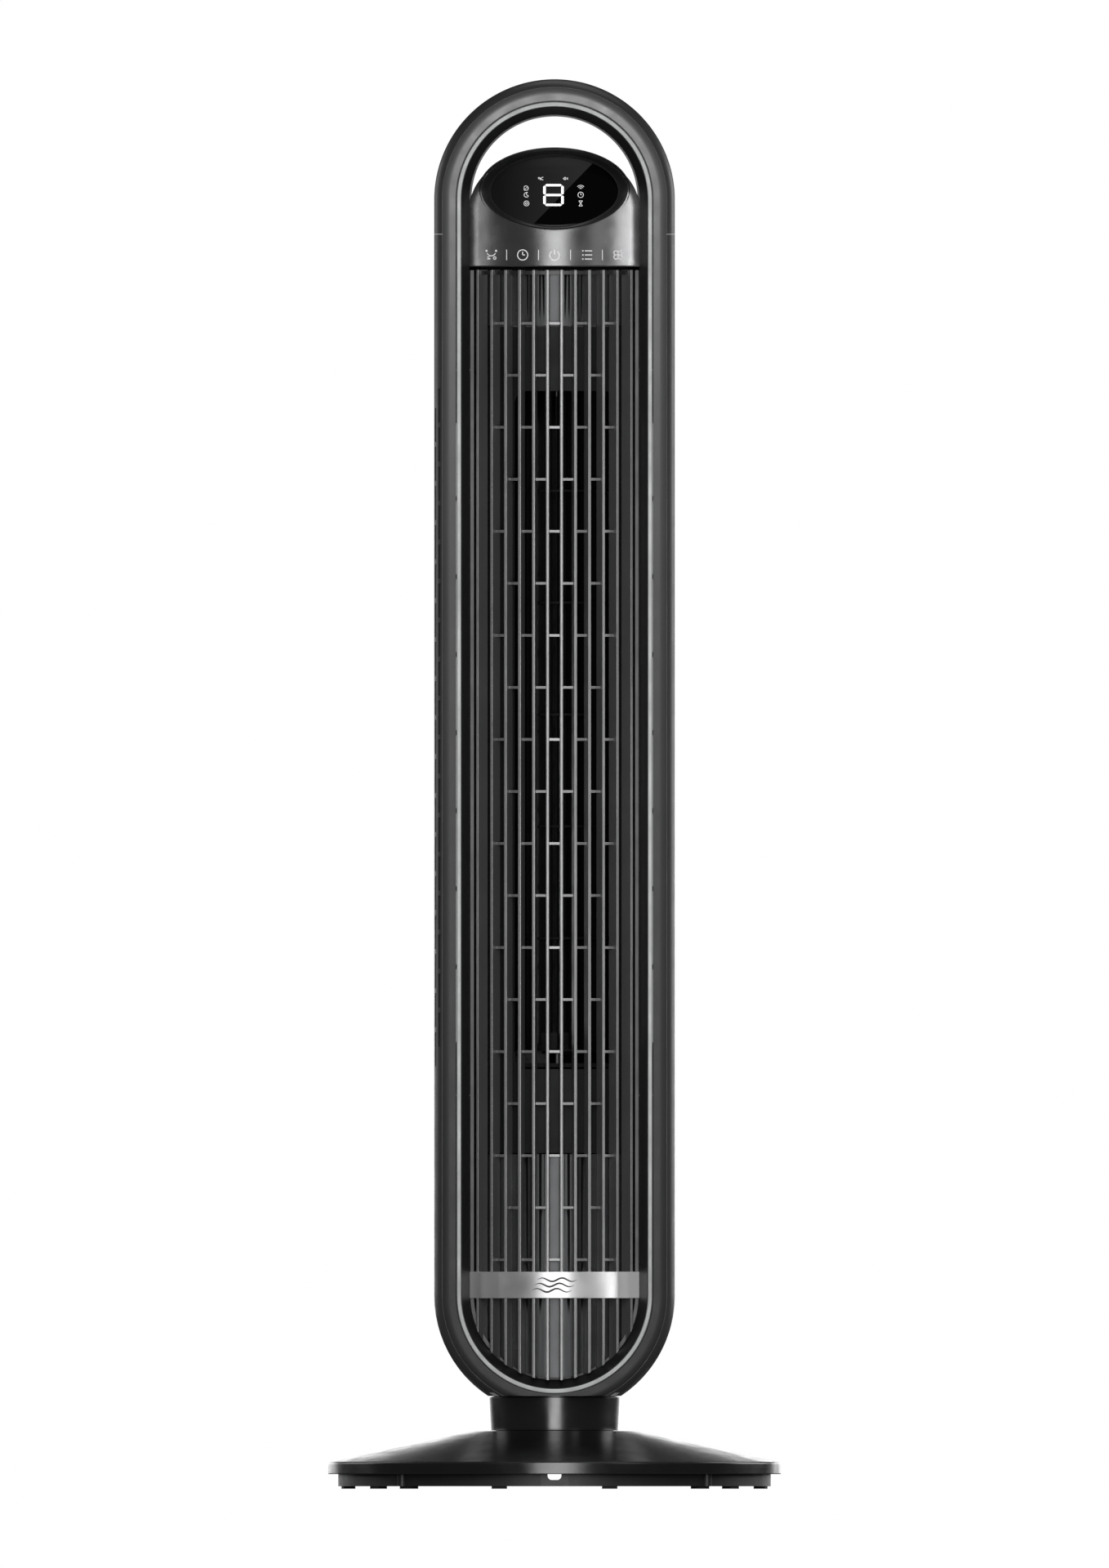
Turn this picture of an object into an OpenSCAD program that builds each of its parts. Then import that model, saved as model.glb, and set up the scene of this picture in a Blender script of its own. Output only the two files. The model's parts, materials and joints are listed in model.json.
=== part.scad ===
// Tower fan: a tall looped body with a carrying handle, a finned front grille, a touch-key head
// with a tilted display, a cross-flow impeller in a scroll casing, and a swivelling round base.
// Millimetres. Z is up, the front faces -Y, and the origin is on the floor under the swivel axis.

/* [Overall] */
// Height from the floor to the top of the body
total_height = 1066; // [960:1:1300]
// Width of the body
body_width = 182; // [160:1:220]
// Depth of the body from its front face to its back
body_depth = 142; // [134:1:180]
// Distance from the swivel axis to the front face
front_reach = 66; // [62:1:76]
// Diameter of the base
base_d = 342.4; // [300:0.1:420]
// Height of the base at its middle
base_height = 43.8; // [38:0.1:56]
// Height between the base and the body, taken up by the neck
neck_height = 26.4; // [24:0.1:40]

/* [Shell] */
// Wall of the moulded covers
wall = 2.5; // [2:0.1:3]
// Radius of the front edge of the body
front_corner_r = 12; // [9:0.5:14]
// Radius of the two rear corners of the body
rear_corner_r = 52; // [40:1:58]
// Radius of the forward slope of the back under the top
shoulder_r = 300; // [280:5:400]
// How far below the top that slope begins
shoulder_drop = 186; // [150:1:200]
// Width of the frame around the bright ring
frame_width = 16.8; // [14:0.1:20]
// Width of the bright ring
ring_width = 3.8; // [2.5:0.1:5]
// How far the bright ring stands out of the frame
ring_proud = 0.8; // [0.2:0.1:1.5]
// Width of the tapered liner inside the ring
liner_width = 6.2; // [4:0.1:8]
// Depth of the tapered liner
liner_depth = 12; // [8:0.5:16]
// Width of frame left under the ring at the bottom
bottom_lip = 1.6; // [1:0.1:4]
// Depth of the face plate's edge in front of the rear shell
face_depth = 1.5; // [1.2:0.1:2]

/* [Head] */
// Height of the top of the head's dome below the top of the body
head_drop = 52.1; // [46:0.1:60]
// Rise of the dome above its widest level
dome_rise = 45.2; // [38:0.1:52]
// Height of the head's lower edge below the top of the body
head_foot_drop = 141.8; // [130:0.1:150]
// Gap between the head and the front grille
head_gap = 2.5; // [1.5:0.1:4]
// Radius of the convex front of the head and grille
front_arc_r = 97; // [90:1:140]
// Setback of the front arc from the front face of the frame
arc_setback = 3; // [2:0.1:6]
// Angle of the display face from upright
display_tilt = 30; // [20:1:40]
// Height of the display face's lower edge above the head's lower edge
display_foot = 28.7; // [24:0.1:34]
// Width of the display lens
lens_width = 95.8; // [80:0.1:100]
// Length of the display lens up its slope
lens_length = 60.6; // [50:0.1:62]
// Thickness of the display bezel
bezel_t = 1.8; // [1.2:0.1:2.5]
// Depth of the head cover behind its front
head_depth = 45; // [40:1:50]

/* [Front grille] */
// Thickness of a fin
fin_t = 2.1; // [1.6:0.1:3]
// Depth of a fin
fin_depth = 12; // [9:0.5:14]
// Spacing of the fins
fin_pitch = 10.65; // [9:0.05:13]
// Height of a tab between fins
tab_t = 2.1; // [1.5:0.1:3]
// Depth of a tab
tab_depth = 3.2; // [2:0.1:5]
// How far the tabs sit behind the fin fronts
tab_setback = 5; // [3:0.5:7]
// Spacing of the tab rows
tab_pitch = 39.35; // [30:0.05:50]
// Height of the badge band
badge_height = 20.2; // [16:0.1:26]
// Height of the middle of the badge band above the lower arc's centre
badge_rise = 8.1; // [4:0.1:20]
// Depth of the fluted panels behind the fins
baffle_t = 2; // [1.5:0.1:3]
// Height of the fluted panel at the top
upper_baffle_height = 42; // [34:0.5:50]
// Top of the fluted panel at the bottom, above the lower arc's centre
lower_baffle_rise = 107; // [90:0.5:120]

/* [Air path] */
// Radius of the impeller
impeller_r = 44; // [36:0.5:46]
// Sideways place of the impeller's axis
impeller_x = 2; // [0:0.5:6]
// Place of the impeller's axis behind the swivel axis
impeller_y = 16; // [14:0.5:20]
// Number of blades
blade_count = 24; // [16:1:36]
// Number of impeller segments
segment_count = 6; // [4:1:8]
// Gap between the impeller and the tongue
tongue_gap = 4.5; // [3:0.5:6]
// Wall of the scroll casing
casing_wall = 2; // [1.6:0.1:3]
// Top of the outlet opening below the top of the body
outlet_top_drop = 235.7; // [220:0.1:260]
// Bottom of the outlet opening above the lower arc's centre
outlet_bottom_rise = 171.4; // [160:0.1:200]
// Left edge of the outlet opening, left of the middle
outlet_left = 30.2; // [26:0.1:36]
// Distance from the right edge of the outlet opening to the edge of the grille
outlet_right_margin = 17.1; // [14:0.1:24]

/* [Motor and bearings] */
// Radius of the fan motor
motor_r = 38; // [32:0.5:42]
// Height of the fan motor
motor_height = 42; // [36:1:50]
// Radius of the motor shaft
motor_shaft_r = 4; // [3:0.5:5]
// Radius of the stub shaft at the top of the impeller
stub_shaft_r = 3; // [2.5:0.5:4]
// Radial clearance of a turning shaft
shaft_clear = 0.05; // [0.02:0.01:0.1]

/* [Swivel] */
// Teeth on the fixed swing gear
gear_teeth = 48; // [40:4:56]
// Teeth on the swing pinion
pinion_teeth = 12; // [12:1:14]
// Gear module
gear_module = 1; // [0.8:0.05:1.1]
// Thickness of the swing gear
gear_t = 6; // [5:0.5:8]
// Outer radius of the pivot tube
pivot_r = 14; // [12:0.5:16]
// Wall of the pivot tube
pivot_wall = 3; // [2.5:0.5:4]
// Radius of the neck at its top
neck_r = 49.7; // [46:0.1:56]
// Narrowing of the neck towards the base
neck_draft = 1.7; // [0:0.1:4]

/* [Base] */
// Radius of the flat middle of the base
plateau_r = 61.1; // [56:0.1:70]
// Height of the rim's upper edge
rim_top = 20.2; // [18:0.1:24]
// Height of the rim's lower edge
rim_bottom = 11.1; // [11.1:0.1:13]
// Wall of the base cover
cover_wall = 3; // [2.5:0.1:4]
// How far the tray's skirt stands back from the rim
skirt_inset = 7.6; // [5:0.1:10]
// Height of the rubber feet under the tray
foot_height = 1.9; // [1.5:0.1:3]
// Width of the cord outlet
cord_slot_width = 10.4; // [9:0.1:14]
// Depth of the cord outlet under the rim
cord_slot_depth = 4.4; // [4.2:0.1:6]
// Radius of the rubber foot at each corner
foot_r = 7; // [5:0.5:9]
// Radius of the screw bosses on the skirt
boss_r = 3.65; // [3:0.05:5]

/* [Hidden] */
$fn = 96;
// Clearances between covers
fit_gap = 0.15;
seam_gap = 0.4;
move_gap = 0.5;
// Overlap used only to cut cleanly
cut = 1;

body_r = body_width / 2;
front_y = -front_reach;
rear_y = front_y + body_depth;
corner_y = rear_y - rear_corner_r;
ring_r = body_r - frame_width;
ring_in_r = ring_r - ring_width;
field_r = ring_in_r - liner_width;
tunnel_r = field_r - 1.4;
body_bottom = base_height + neck_height;
low_z = body_bottom + bottom_lip + ring_r;
top_z = total_height - body_r;
shoulder_z = total_height - shoulder_drop;
shoulder_lap = 6;
shoulder_ease = shoulder_lap * shoulder_lap / (2 * shoulder_r) - 0.01;
edge_x = body_r - front_corner_r;
edge_y = front_y + front_corner_r;
face_y = front_y + face_depth;
plate_back_y = front_y + wall;
face_r = edge_x + sqrt(pow(front_corner_r, 2) - pow(front_corner_r - face_depth, 2));

// Ring and liner
ring_front_y = front_y - ring_proud;
ring_back_y = front_y + 4;
liner_y = ring_back_y + fit_gap;
liner_back_y = liner_y + liner_depth;
liner_end_y = liner_back_y + 4;

// Head
dome_top = total_height - head_drop;
dome_z = dome_top - dome_rise;
dome_a = field_r;
head_foot = total_height - head_foot_drop;
arc_front_y = front_y + arc_setback;
arc_y = arc_front_y + front_arc_r;
display_z = head_foot + display_foot;
head_back_y = arc_front_y + head_depth;
handle_split_z = dome_z - 20;
lens_up = lens_length / 2 + 2.6;

// Grille
fin_count = 2 * floor(field_r / fin_pitch);
grille_top = head_foot - head_gap;
grille_r = field_r - fit_gap;
rim_w = 1.8;
tab_top = head_foot - 42.7;
tab_rows = floor((tab_top - low_z - 20) / tab_pitch) + 1;
badge_z = low_z + badge_rise;
fin_back_r = front_arc_r - fin_depth;
baffle_r = fin_back_r - 0.6;
flute_pitch = 4.3;
flute_w = 2.2;
flute_depth = 1.4;

// Air path
outlet_top = total_height - outlet_top_drop;
outlet_bottom = low_z + outlet_bottom_rise;
outlet_right = field_r - outlet_right_margin;
impeller_bottom = outlet_bottom + 13.6;
impeller_top = outlet_top + 9.9;
impeller_length = impeller_top - impeller_bottom;
disc_t = 1.6;
segment_pitch = (impeller_length - disc_t) / segment_count;
blade_in_r = impeller_r - 10;
casing_bottom = impeller_bottom - 9;
casing_top = impeller_top + 4.5;
plate_t = 3;
panel_back_r = baffle_r - baffle_t;
outlet_y = arc_y - panel_back_r;
scroll_start_r = impeller_r + 2.5;
scroll_start = 100;
scroll_steps = 19;
plate_screw_ring_r = 31;
plate_hole_r = 1.6;
pilot_r = 1.5;
scroll_end_x = outlet_right + 1;
scroll_end_y = arc_y - sqrt(pow(panel_back_r, 2) - pow(scroll_end_x, 2)) + casing_wall + 1;
scroll_end = atan2(scroll_end_y - impeller_y, scroll_end_x - impeller_x);
scroll_end_r = norm([scroll_end_x - impeller_x, scroll_end_y - impeller_y]);

// Motor
hub_length = 16;
motor_top = casing_bottom - plate_t - 6;
motor_bottom = motor_top - motor_height;
bearing_r = 7;
bearing_seat_r = 11;
bearing_length = 9;
stub_bottom = impeller_top - 14;
stub_top = casing_top + plate_t + 12;
board_y = 10;
board_t = 1.6;

// Swivel
gear_r = gear_teeth * gear_module / 2;
pinion_r = pinion_teeth * gear_module / 2;
centre_gap = gear_r + pinion_r;
pressure_angle = 20;
pivot_flange_t = 6;
pivot_flange_r = pivot_r + 12;
pivot_screw_ring_r = pivot_r + 7;
tooth_play = 0.32;
neck_bottom = base_height + 0.3;
neck_top = body_bottom - 0.8;
neck_step_r = neck_r - 2;
neck_floor = base_height + 2.8;
neck_floor_t = 3;
gear_bottom = neck_floor + neck_floor_t + move_gap;
gear_top = gear_bottom + gear_t;
pivot_top = gear_top + 2.4;
floor_z = body_bottom + wall + fit_gap;
floor_t = 3;
spigot_r = 41;
spigot_bore_r = 36;
neck_screw_ring_r = spigot_bore_r + 2.5;
neck_wall = 3;
spindle_r = 3;
swing_motor_r = 14;
swing_motor_height = 19;
swing_motor_z = floor_z + floor_t + fit_gap;

// Base
base_r = base_d / 2;
skirt_r = base_r - skirt_inset;
tray_bottom = foot_height;
tray_t = 2.5;
skirt_top = rim_bottom + 3;
pivot_bottom = base_height - cover_wall - pivot_flange_t;
cord_slot_bottom = rim_bottom - cord_slot_depth;
weight_bottom = tray_bottom + tray_t + fit_gap;
weight_t = 8;
weight_out_r = skirt_r - 26;
weight_in_r = 34;
post_r = 5;
rim_post_ring_r = skirt_r - 13;

// Intake slots
slot_length = 25.8;
slot_pitch = 29.5;
slot_w = 2.4;
slot_rows = floor((outlet_top - outlet_bottom) / slot_pitch);
slot_z0 = outlet_bottom + 2.2;
rear_slot_w = 4.6;
rear_slot_pitch = 8.3;
window_y = corner_y + 10;
window_bottom = outlet_bottom - 20;
window_top = outlet_top + 16;
rear_slot_length = 2 * slot_pitch - 3.7;
flank_column_pitch = 4.7;
grille_screw_x = 25;

// Frame of two half-turns and two straights, from a drawing of radius and depth
module loop_sweep() {
    translate([0, 0, low_z]) linear_extrude(top_z - low_z) children();
    mirror([1, 0, 0]) translate([0, 0, low_z]) linear_extrude(top_z - low_z) children();
    translate([0, 0, low_z]) rotate([-90, 0, 0]) rotate_extrude(angle = 180) children();
    translate([0, 0, top_z]) rotate([-90, 0, 0]) rotate([0, 0, 180]) rotate_extrude(angle = 180) children();
}

// A drawing of width and height, carried from one depth to another
module along_y(y0, y1) {
    translate([0, y1, 0]) rotate([90, 0, 0]) linear_extrude(y1 - y0) children();
}

// A drawing of depth and height, carried from one side to the other
module along_x(x0, x1) {
    translate([x0, 0, 0]) rotate([90, 0, 90]) linear_extrude(x1 - x0) children();
}

module stadium(r, z0 = low_z, z1 = top_z) {
    translate([0, z0]) circle(r);
    translate([-r, z0]) square([2 * r, z1 - z0]);
    translate([0, z1]) circle(r);
}

function ellipse_points(a, b, from, to, steps) = [
    for (i = [0:steps]) let (t = from + (to - from) * i / steps) [a * cos(t), b * sin(t)]
];

// Outline of the head's dome, down to a given height
module dome_outline(shrink, foot) {
    a = dome_a - shrink;
    b = dome_rise - shrink;
    points = [for (p = ellipse_points(a, b, 0, 180, 40)) [p[0], p[1] + dome_z]];
    polygon(concat([[a, foot]], points, [[-a, foot]]));
}

// Opening of the handle, between the dome and the arch
module tunnel(grow) {
    difference() {
        union() {
            translate([0, top_z]) circle(tunnel_r + grow);
            translate([-tunnel_r - grow, dome_z]) square([2 * (tunnel_r + grow), top_z - dome_z]);
        }
        dome_outline(grow, dome_z - 80);
        translate([-body_r, dome_z - 90]) square([body_width, 90]);
    }
}

module body_plan(inset) {
    span = body_r - rear_corner_r;
    translate([-body_r + inset, edge_y]) square([body_width - 2 * inset, corner_y - edge_y]);
    for (side = [-1, 1]) translate([side * span, corner_y]) circle(rear_corner_r - inset);
    translate([-span, corner_y]) square([2 * span, rear_corner_r - inset]);
}

module body_side(inset) {
    translate([edge_y - cut, body_bottom + inset])
        square([rear_y - inset - edge_y + cut, shoulder_z - body_bottom - inset]);
    intersection() {
        translate([rear_y - shoulder_r + shoulder_ease, shoulder_z - shoulder_lap])
            circle(shoulder_r - inset, $fn = 360);
        translate([edge_y - cut, shoulder_z]) square([body_depth, shoulder_drop + 10 * cut]);
    }
}

// The body behind its rounded front edge, with every wall moved in by the inset
module body_solid(inset) {
    intersection() {
        along_y(edge_y - (inset > 0 ? cut : 0), rear_y + cut) stadium(body_r - inset);
        translate([0, 0, body_bottom - cut]) linear_extrude(total_height) body_plan_front(inset);
        along_x(-body_r - cut, body_r + cut) body_side(inset);
    }
}

module body_plan_front(inset) {
    body_plan(inset);
    translate([-body_r + inset, edge_y - 2 * cut]) square([body_width - 2 * inset, 3 * cut]);
}

module above(z0) {
    translate([-body_width, -body_depth * 2, z0]) cube([2 * body_width, 4 * body_depth, total_height]);
}

// The rounded edge in front of the straight sides, as a curved strip
module edge_strip() {
    intersection() {
        translate([edge_x, edge_y]) difference() {
            circle(front_corner_r);
            circle(front_corner_r - wall);
        }
        translate([edge_x, face_y + fit_gap])
            square([front_corner_r + cut, front_corner_r - face_depth - fit_gap]);
    }
}

module slot_block(y, z, length, w, deep) {
    translate([-deep / 2, y - w / 2, z]) cube([deep, w, length]);
}

module below(z0) {
    mirror([0, 0, 1]) above(-z0);
}

// Staggered air slots down the left flank, two columns of them on the rounded edge
module flank_slots() {
    for (row = [0:slot_rows - 1]) {
        z = slot_z0 + row * slot_pitch;
        for (column = [0:5]) {
            shift = column % 2 == 0 ? slot_pitch / 2 : 0;
            turn = column == 0 ? 46 : 23;
            if (column < 2) {
                translate([-edge_x, edge_y, 0]) rotate([0, 0, turn]) translate([-front_corner_r + 1, 0, 0])
                    slot_block(0, z + shift, slot_length, slot_w, 8);
            } else {
                translate([-body_r + 1, edge_y, 0])
                    slot_block((column - 1.4) * flank_column_pitch, z + shift, slot_length, slot_w, 8);
            }
        }
    }
}

module rear_shell() color([0.22, 0.225, 0.23]) intersection() {
    rear_body();
    below(handle_split_z);
}

// Upper part of the back, with the arch and the walls of the handle's opening
module handle_shell() color([0.22, 0.225, 0.23]) intersection() {
    rear_body();
    above(handle_split_z + fit_gap);
}

module rear_body() difference() {
    union() {
        difference() {
            body_solid(0);
            body_solid(wall);
        }
        intersection() {
            loop_sweep() difference() {
                edge_strip();
                translate([0, front_y]) square([face_r + fit_gap, wall + fit_gap]);
            }
            above(body_bottom);
        }
        difference() {
            intersection() {
                translate([-body_r, plate_back_y + fit_gap, body_bottom])
                    cube([body_width, edge_y - plate_back_y, wall]);
                along_y(front_y, corner_y) stadium(edge_x + front_corner_r - wall);
            }
            along_y(front_y, edge_y) stadium(ring_r + wall + 2 * fit_gap);
        }
        intersection() {
            body_solid(0);
            along_y(head_back_y + fit_gap, rear_y) tunnel(wall);
        }
        intersection() {
            body_solid(0);
            along_y(liner_end_y + fit_gap, head_back_y + fit_gap + cut) difference() {
                tunnel(wall);
                dome_outline(-seam_gap, dome_z - 80);
            }
        }
    }
    along_y(front_y - cut, rear_y + cut) tunnel(0);
    translate([-body_width, window_y, window_bottom])
        cube([2 * body_width, body_depth, window_top - window_bottom]);
    translate([0, 0, body_bottom - cut]) cylinder(r = spigot_r + fit_gap, h = wall + 2 * cut);
    flank_slots();
    grille_screw_places() {
        cylinder(r = 1.7, h = 20, center = true, $fn = 24);
        translate([0, 0, -1.2]) cylinder(r = 3.3, h = 10, $fn = 32);
    }
}

// Places of the screws above and below the rear grille, with Z out of the back
module grille_screw_places() {
    for (side = [-1, 1]) for (z = [window_bottom - 6, window_top + 6])
        translate([side * grille_screw_x, rear_y, z]) rotate([-90, 0, 0]) children();
}

module grille_screws() color([0.6, 0.6, 0.6]) grille_screw_places() {
    translate([0, 0, -1.2]) cylinder(r = 3, h = 1.1, $fn = 32);
    translate([0, 0, -wall - 3]) cylinder(r = 1.5, h = wall + 2, $fn = 24);
}

module rear_grille() color([0.2, 0.205, 0.21]) difference() {
    union() {
        intersection() {
            difference() {
                body_solid(0);
                body_solid(wall);
            }
            translate([-body_width, window_y + seam_gap, window_bottom + seam_gap])
                cube([2 * body_width, body_depth, window_top - window_bottom - 2 * seam_gap]);
        }
        for (side = [-1, 1]) translate([side * grille_screw_x - 6, rear_y - wall - 3, 0]) {
            translate([0, 0, window_top - 8]) cube([12, 3.2, 7]);
            translate([0, 0, window_top - 8]) cube([12, 3 - fit_gap, 20]);
            translate([0, 0, window_bottom + 1]) cube([12, 3.2, 7]);
            translate([0, 0, window_bottom - 12]) cube([12, 3 - fit_gap, 20]);
        }
    }
    grille_screw_places() cylinder(r = 1.5, h = 20, center = true, $fn = 24);
    rear_rows = floor((window_top - window_bottom - 20) / (2 * slot_pitch));
    rear_z0 = (window_top + window_bottom - rear_rows * 2 * slot_pitch) / 2 + 1.8;
    flat_columns = floor((body_r - rear_corner_r) / rear_slot_pitch);
    turn = rear_slot_pitch / rear_corner_r * 180 / PI;
    for (row = [0:rear_rows - 1]) {
        z = rear_z0 + row * 2 * slot_pitch;
        for (column = [-flat_columns:flat_columns])
            translate([column * rear_slot_pitch - rear_slot_w / 2, rear_y - 6, z])
                cube([rear_slot_w, 8, rear_slot_length]);
        for (side = [-1, 1]) for (column = [0:6])
            translate([side * (body_r - rear_corner_r), corner_y, z])
                rotate([0, 0, side * -(column + 0.9) * turn])
                    translate([-rear_slot_w / 2, rear_corner_r - 6, 0])
                        cube([rear_slot_w, 8, rear_slot_length]);
    }
}

module front_frame() color([0.25, 0.255, 0.26]) intersection() {
    loop_sweep() union() {
        difference() {
            union() {
                translate([ring_r + fit_gap, front_y]) square([edge_x - ring_r - fit_gap, wall]);
                intersection() {
                    translate([edge_x, edge_y]) circle(front_corner_r);
                    translate([edge_x - cut, front_y]) square([face_r - edge_x + cut, wall]);
                }
            }
            translate([face_r - 0.6, face_y]) square([front_corner_r, wall]);
        }
        translate([ring_r + fit_gap, front_y + cut]) square([wall, front_corner_r - cut - fit_gap]);
    }
    above(body_bottom);
}

module trim_ring() color([0.72, 0.73, 0.73]) loop_sweep() difference() {
    translate([ring_in_r, ring_front_y]) square([ring_width, ring_back_y - ring_front_y]);
    translate([ring_in_r, ring_front_y]) rotate(45) square(0.7, center = true);
    translate([ring_r, ring_front_y]) rotate(45) square(0.7, center = true);
}

module inner_liner() color([0.12, 0.125, 0.13]) loop_sweep() polygon([
    [ring_r, liner_y], [ring_in_r - 0.2, liner_y], [field_r, liner_back_y], [field_r, liner_end_y],
    [field_r + wall, liner_end_y], [field_r + wall, liner_back_y], [ring_r - 1.5, liner_y + wall],
    [ring_r, liner_y + wall]
]);

function fin_angle(i) = asin((i - (fin_count - 1) / 2) * fin_pitch / front_arc_r);

// A block standing radially on the front arc at one angle
module on_arc(angle, front_r, depth, width, z0, z1) {
    translate([0, arc_y, z0]) rotate([0, 0, angle]) translate([-width / 2, -front_r, 0])
        cube([width, depth, z1 - z0]);
}

module arc_band(r_out, r_in, z0, z1) {
    translate([0, arc_y, z0]) intersection() {
        difference() {
            cylinder(r = r_out, h = z1 - z0, $fn = 180);
            translate([0, 0, -cut]) cylinder(r = r_in, h = z1 - z0 + 2 * cut, $fn = 180);
        }
        translate([-field_r - cut, -r_out - cut, 0]) cube([2 * field_r + 2 * cut, r_out, z1 - z0]);
    }
}

module front_grille() color([0.36, 0.365, 0.37]) {
    badge_low = badge_z - badge_height / 2 - fit_gap;
    badge_high = badge_z + badge_height / 2 + fit_gap;
    difference() {
        intersection() {
            union() {
                for (i = [0:fin_count - 1])
                    on_arc(fin_angle(i), front_arc_r, fin_depth, fin_t, low_z - field_r, grille_top);
                for (row = [0:tab_rows - 1]) for (i = [1:fin_count - 3])
                    if ((i + row) % 2 == 1)
                        tab_between(i, tab_top - row * tab_pitch);
                arc_band(front_arc_r - 3, fin_back_r + 2, grille_top - 3.5, grille_top - 0.5);
                arc_band(front_arc_r - 3, fin_back_r + 2, low_z - 2, low_z);
                grille_rim();
            }
            along_y(front_y, arc_y) stadium(grille_r);
        }
        translate([0, 0, badge_low]) linear_extrude(badge_high - badge_low) difference() {
            translate([0, arc_y]) circle(front_arc_r + cut, $fn = 180);
            translate([0, arc_y]) circle(front_arc_r - 2 - fit_gap, $fn = 180);
        }
    }
}

module tab_between(i, z) {
    middle = (fin_angle(i) + fin_angle(i + 1)) / 2;
    reach = 2 * (front_arc_r - tab_setback) * sin((fin_angle(i + 1) - fin_angle(i)) / 2);
    on_arc(middle, front_arc_r - tab_setback, tab_depth, reach, z - tab_t / 2, z + tab_t / 2);
}

// Side walls of the grille, which run down and round under the fins
module grille_rim() {
    rim_y = arc_y - sqrt(pow(front_arc_r, 2) - pow(field_r, 2));
    intersection() {
        along_y(rim_y, rim_y + fin_depth) difference() {
            stadium(grille_r);
            stadium(grille_r - rim_w);
        }
        translate([-body_r, front_y, 0]) cube([body_width, body_depth, grille_top - 0.2]);
    }
}

module badge_band() color([0.7, 0.71, 0.71]) intersection() {
    arc_band(front_arc_r + 0.6, front_arc_r - 2, badge_z - badge_height / 2, badge_z + badge_height / 2);
    along_y(front_y - cut, arc_y) stadium(grille_r);
}

// A convex panel with upright flutes
module fluted_panel(z0, z1) {
    intersection() {
        union() {
            arc_band(baffle_r, baffle_r - baffle_t, z0, z1);
            for (i = [-8:8])
                on_arc(i * flute_pitch, baffle_r + 0.4, flute_depth, flute_w, z0, z1);
        }
        along_y(front_y, arc_y) stadium(grille_r - rim_w - 0.4);
    }
}

module upper_baffle() color([0.3, 0.305, 0.31]) fluted_panel(grille_top - upper_baffle_height, grille_top);

module lower_baffle() color([0.3, 0.305, 0.31]) fluted_panel(low_z - field_r, low_z + lower_baffle_rise);

// Everything in front of the display face is cut away; the shift moves that face back
module display_cut(shift) {
    translate([0, arc_front_y, display_z]) rotate([-display_tilt, 0, 0])
        translate([-body_r, -body_width, -body_r]) cube([body_width, body_width + shift, 4 * body_r]);
}

module head_block(inset, y1) {
    intersection() {
        along_y(front_y, y1) dome_outline(inset + fit_gap, head_foot + inset);
        translate([0, arc_y, head_foot + inset]) cylinder(r = front_arc_r - inset, h = 200, $fn = 180);
    }
}

module head_cover() color([0.31, 0.315, 0.32]) difference() {
    head_block(0, head_back_y);
    difference() {
        head_block(2, head_back_y + cut);
        display_cut(bezel_t + 2);
    }
    display_cut(bezel_t);
    on_display() translate([0, 0, -8]) lens_disc(lens_width - 12, lens_length - 12, 12);
    translate([-field_r, arc_front_y + 20, head_foot - cut]) cube([2 * field_r, 60, wall + cut + 0.5]);
}

// Moves a drawing onto the middle of the lens, with Z out of the display face
module on_display() {
    translate([0, arc_front_y, display_z]) rotate([90 - display_tilt, 0, 0])
        translate([0, lens_up, 0]) children();
}

module lens_disc(width, length, t) {
    linear_extrude(t) polygon(ellipse_points(width / 2, length / 2, 0, 360 * 63 / 64, 63));
}

module display_bezel() color([0.1, 0.102, 0.105]) difference() {
    intersection() {
        head_block(0, head_back_y);
        display_cut(bezel_t - 0.05);
    }
    display_cut(0);
    on_display() translate([0, 0, -4]) lens_disc(lens_width + 0.3, lens_length + 0.3, 6);
}

module display_lens() color([0.015, 0.015, 0.017]) on_display()
    translate([0, 0, -bezel_t + 0.05]) lens_disc(lens_width, lens_length, bezel_t + 0.25);

module display_board() color([0.05, 0.25, 0.12]) on_display() {
    translate([-32, -17, -9]) cube([64, 34, 1.6]);
    translate([-13, -9.5, -7.4]) cube([26, 19, 5]);
}

module touch_board() color([0.05, 0.25, 0.12])
    arc_band_cut(front_arc_r - 3, front_arc_r - 4.6, head_foot + 4, head_foot + 16, 54);

module arc_band_cut(r_out, r_in, z0, z1, half) {
    intersection() {
        arc_band(r_out, r_in, z0, z1);
        translate([-half, -body_depth, z0 - cut]) cube([2 * half, 2 * body_depth, z1 - z0 + 2 * cut]);
    }
}

module control_board() color([0.05, 0.25, 0.12]) {
    translate([-42, board_y, head_foot - 58]) cube([84, board_t, 50]);
    translate([-30, 4, head_foot - 50]) cube([18, 6, 14]);
    translate([6, 2, head_foot - 48]) cube([14, 8, 20]);
}

module board_posts() color([0.2, 0.2, 0.2]) intersection() {
    for (x = [-37, 37]) for (z = [head_foot - 53, head_foot - 13])
        translate([x, board_y + board_t, z]) rotate([-90, 0, 0]) cylinder(r = 3, h = body_depth, $fn = 32);
    body_solid(wall + fit_gap);
}

// Panel behind the fins that carries the outlet opening
module outlet_frame() color([0.09, 0.095, 0.1]) {
    frame_bottom = low_z + lower_baffle_rise + 1;
    frame_top = grille_top - upper_baffle_height - 1;
    difference() {
        intersection() {
            arc_band(baffle_r, baffle_r - baffle_t, frame_bottom, frame_top);
            along_y(front_y, arc_y) stadium(grille_r - rim_w - 0.4);
        }
        along_y(front_y - cut, arc_y) rounded_rect(-outlet_left, outlet_bottom, outlet_right, outlet_top, 10);
    }
}

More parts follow.
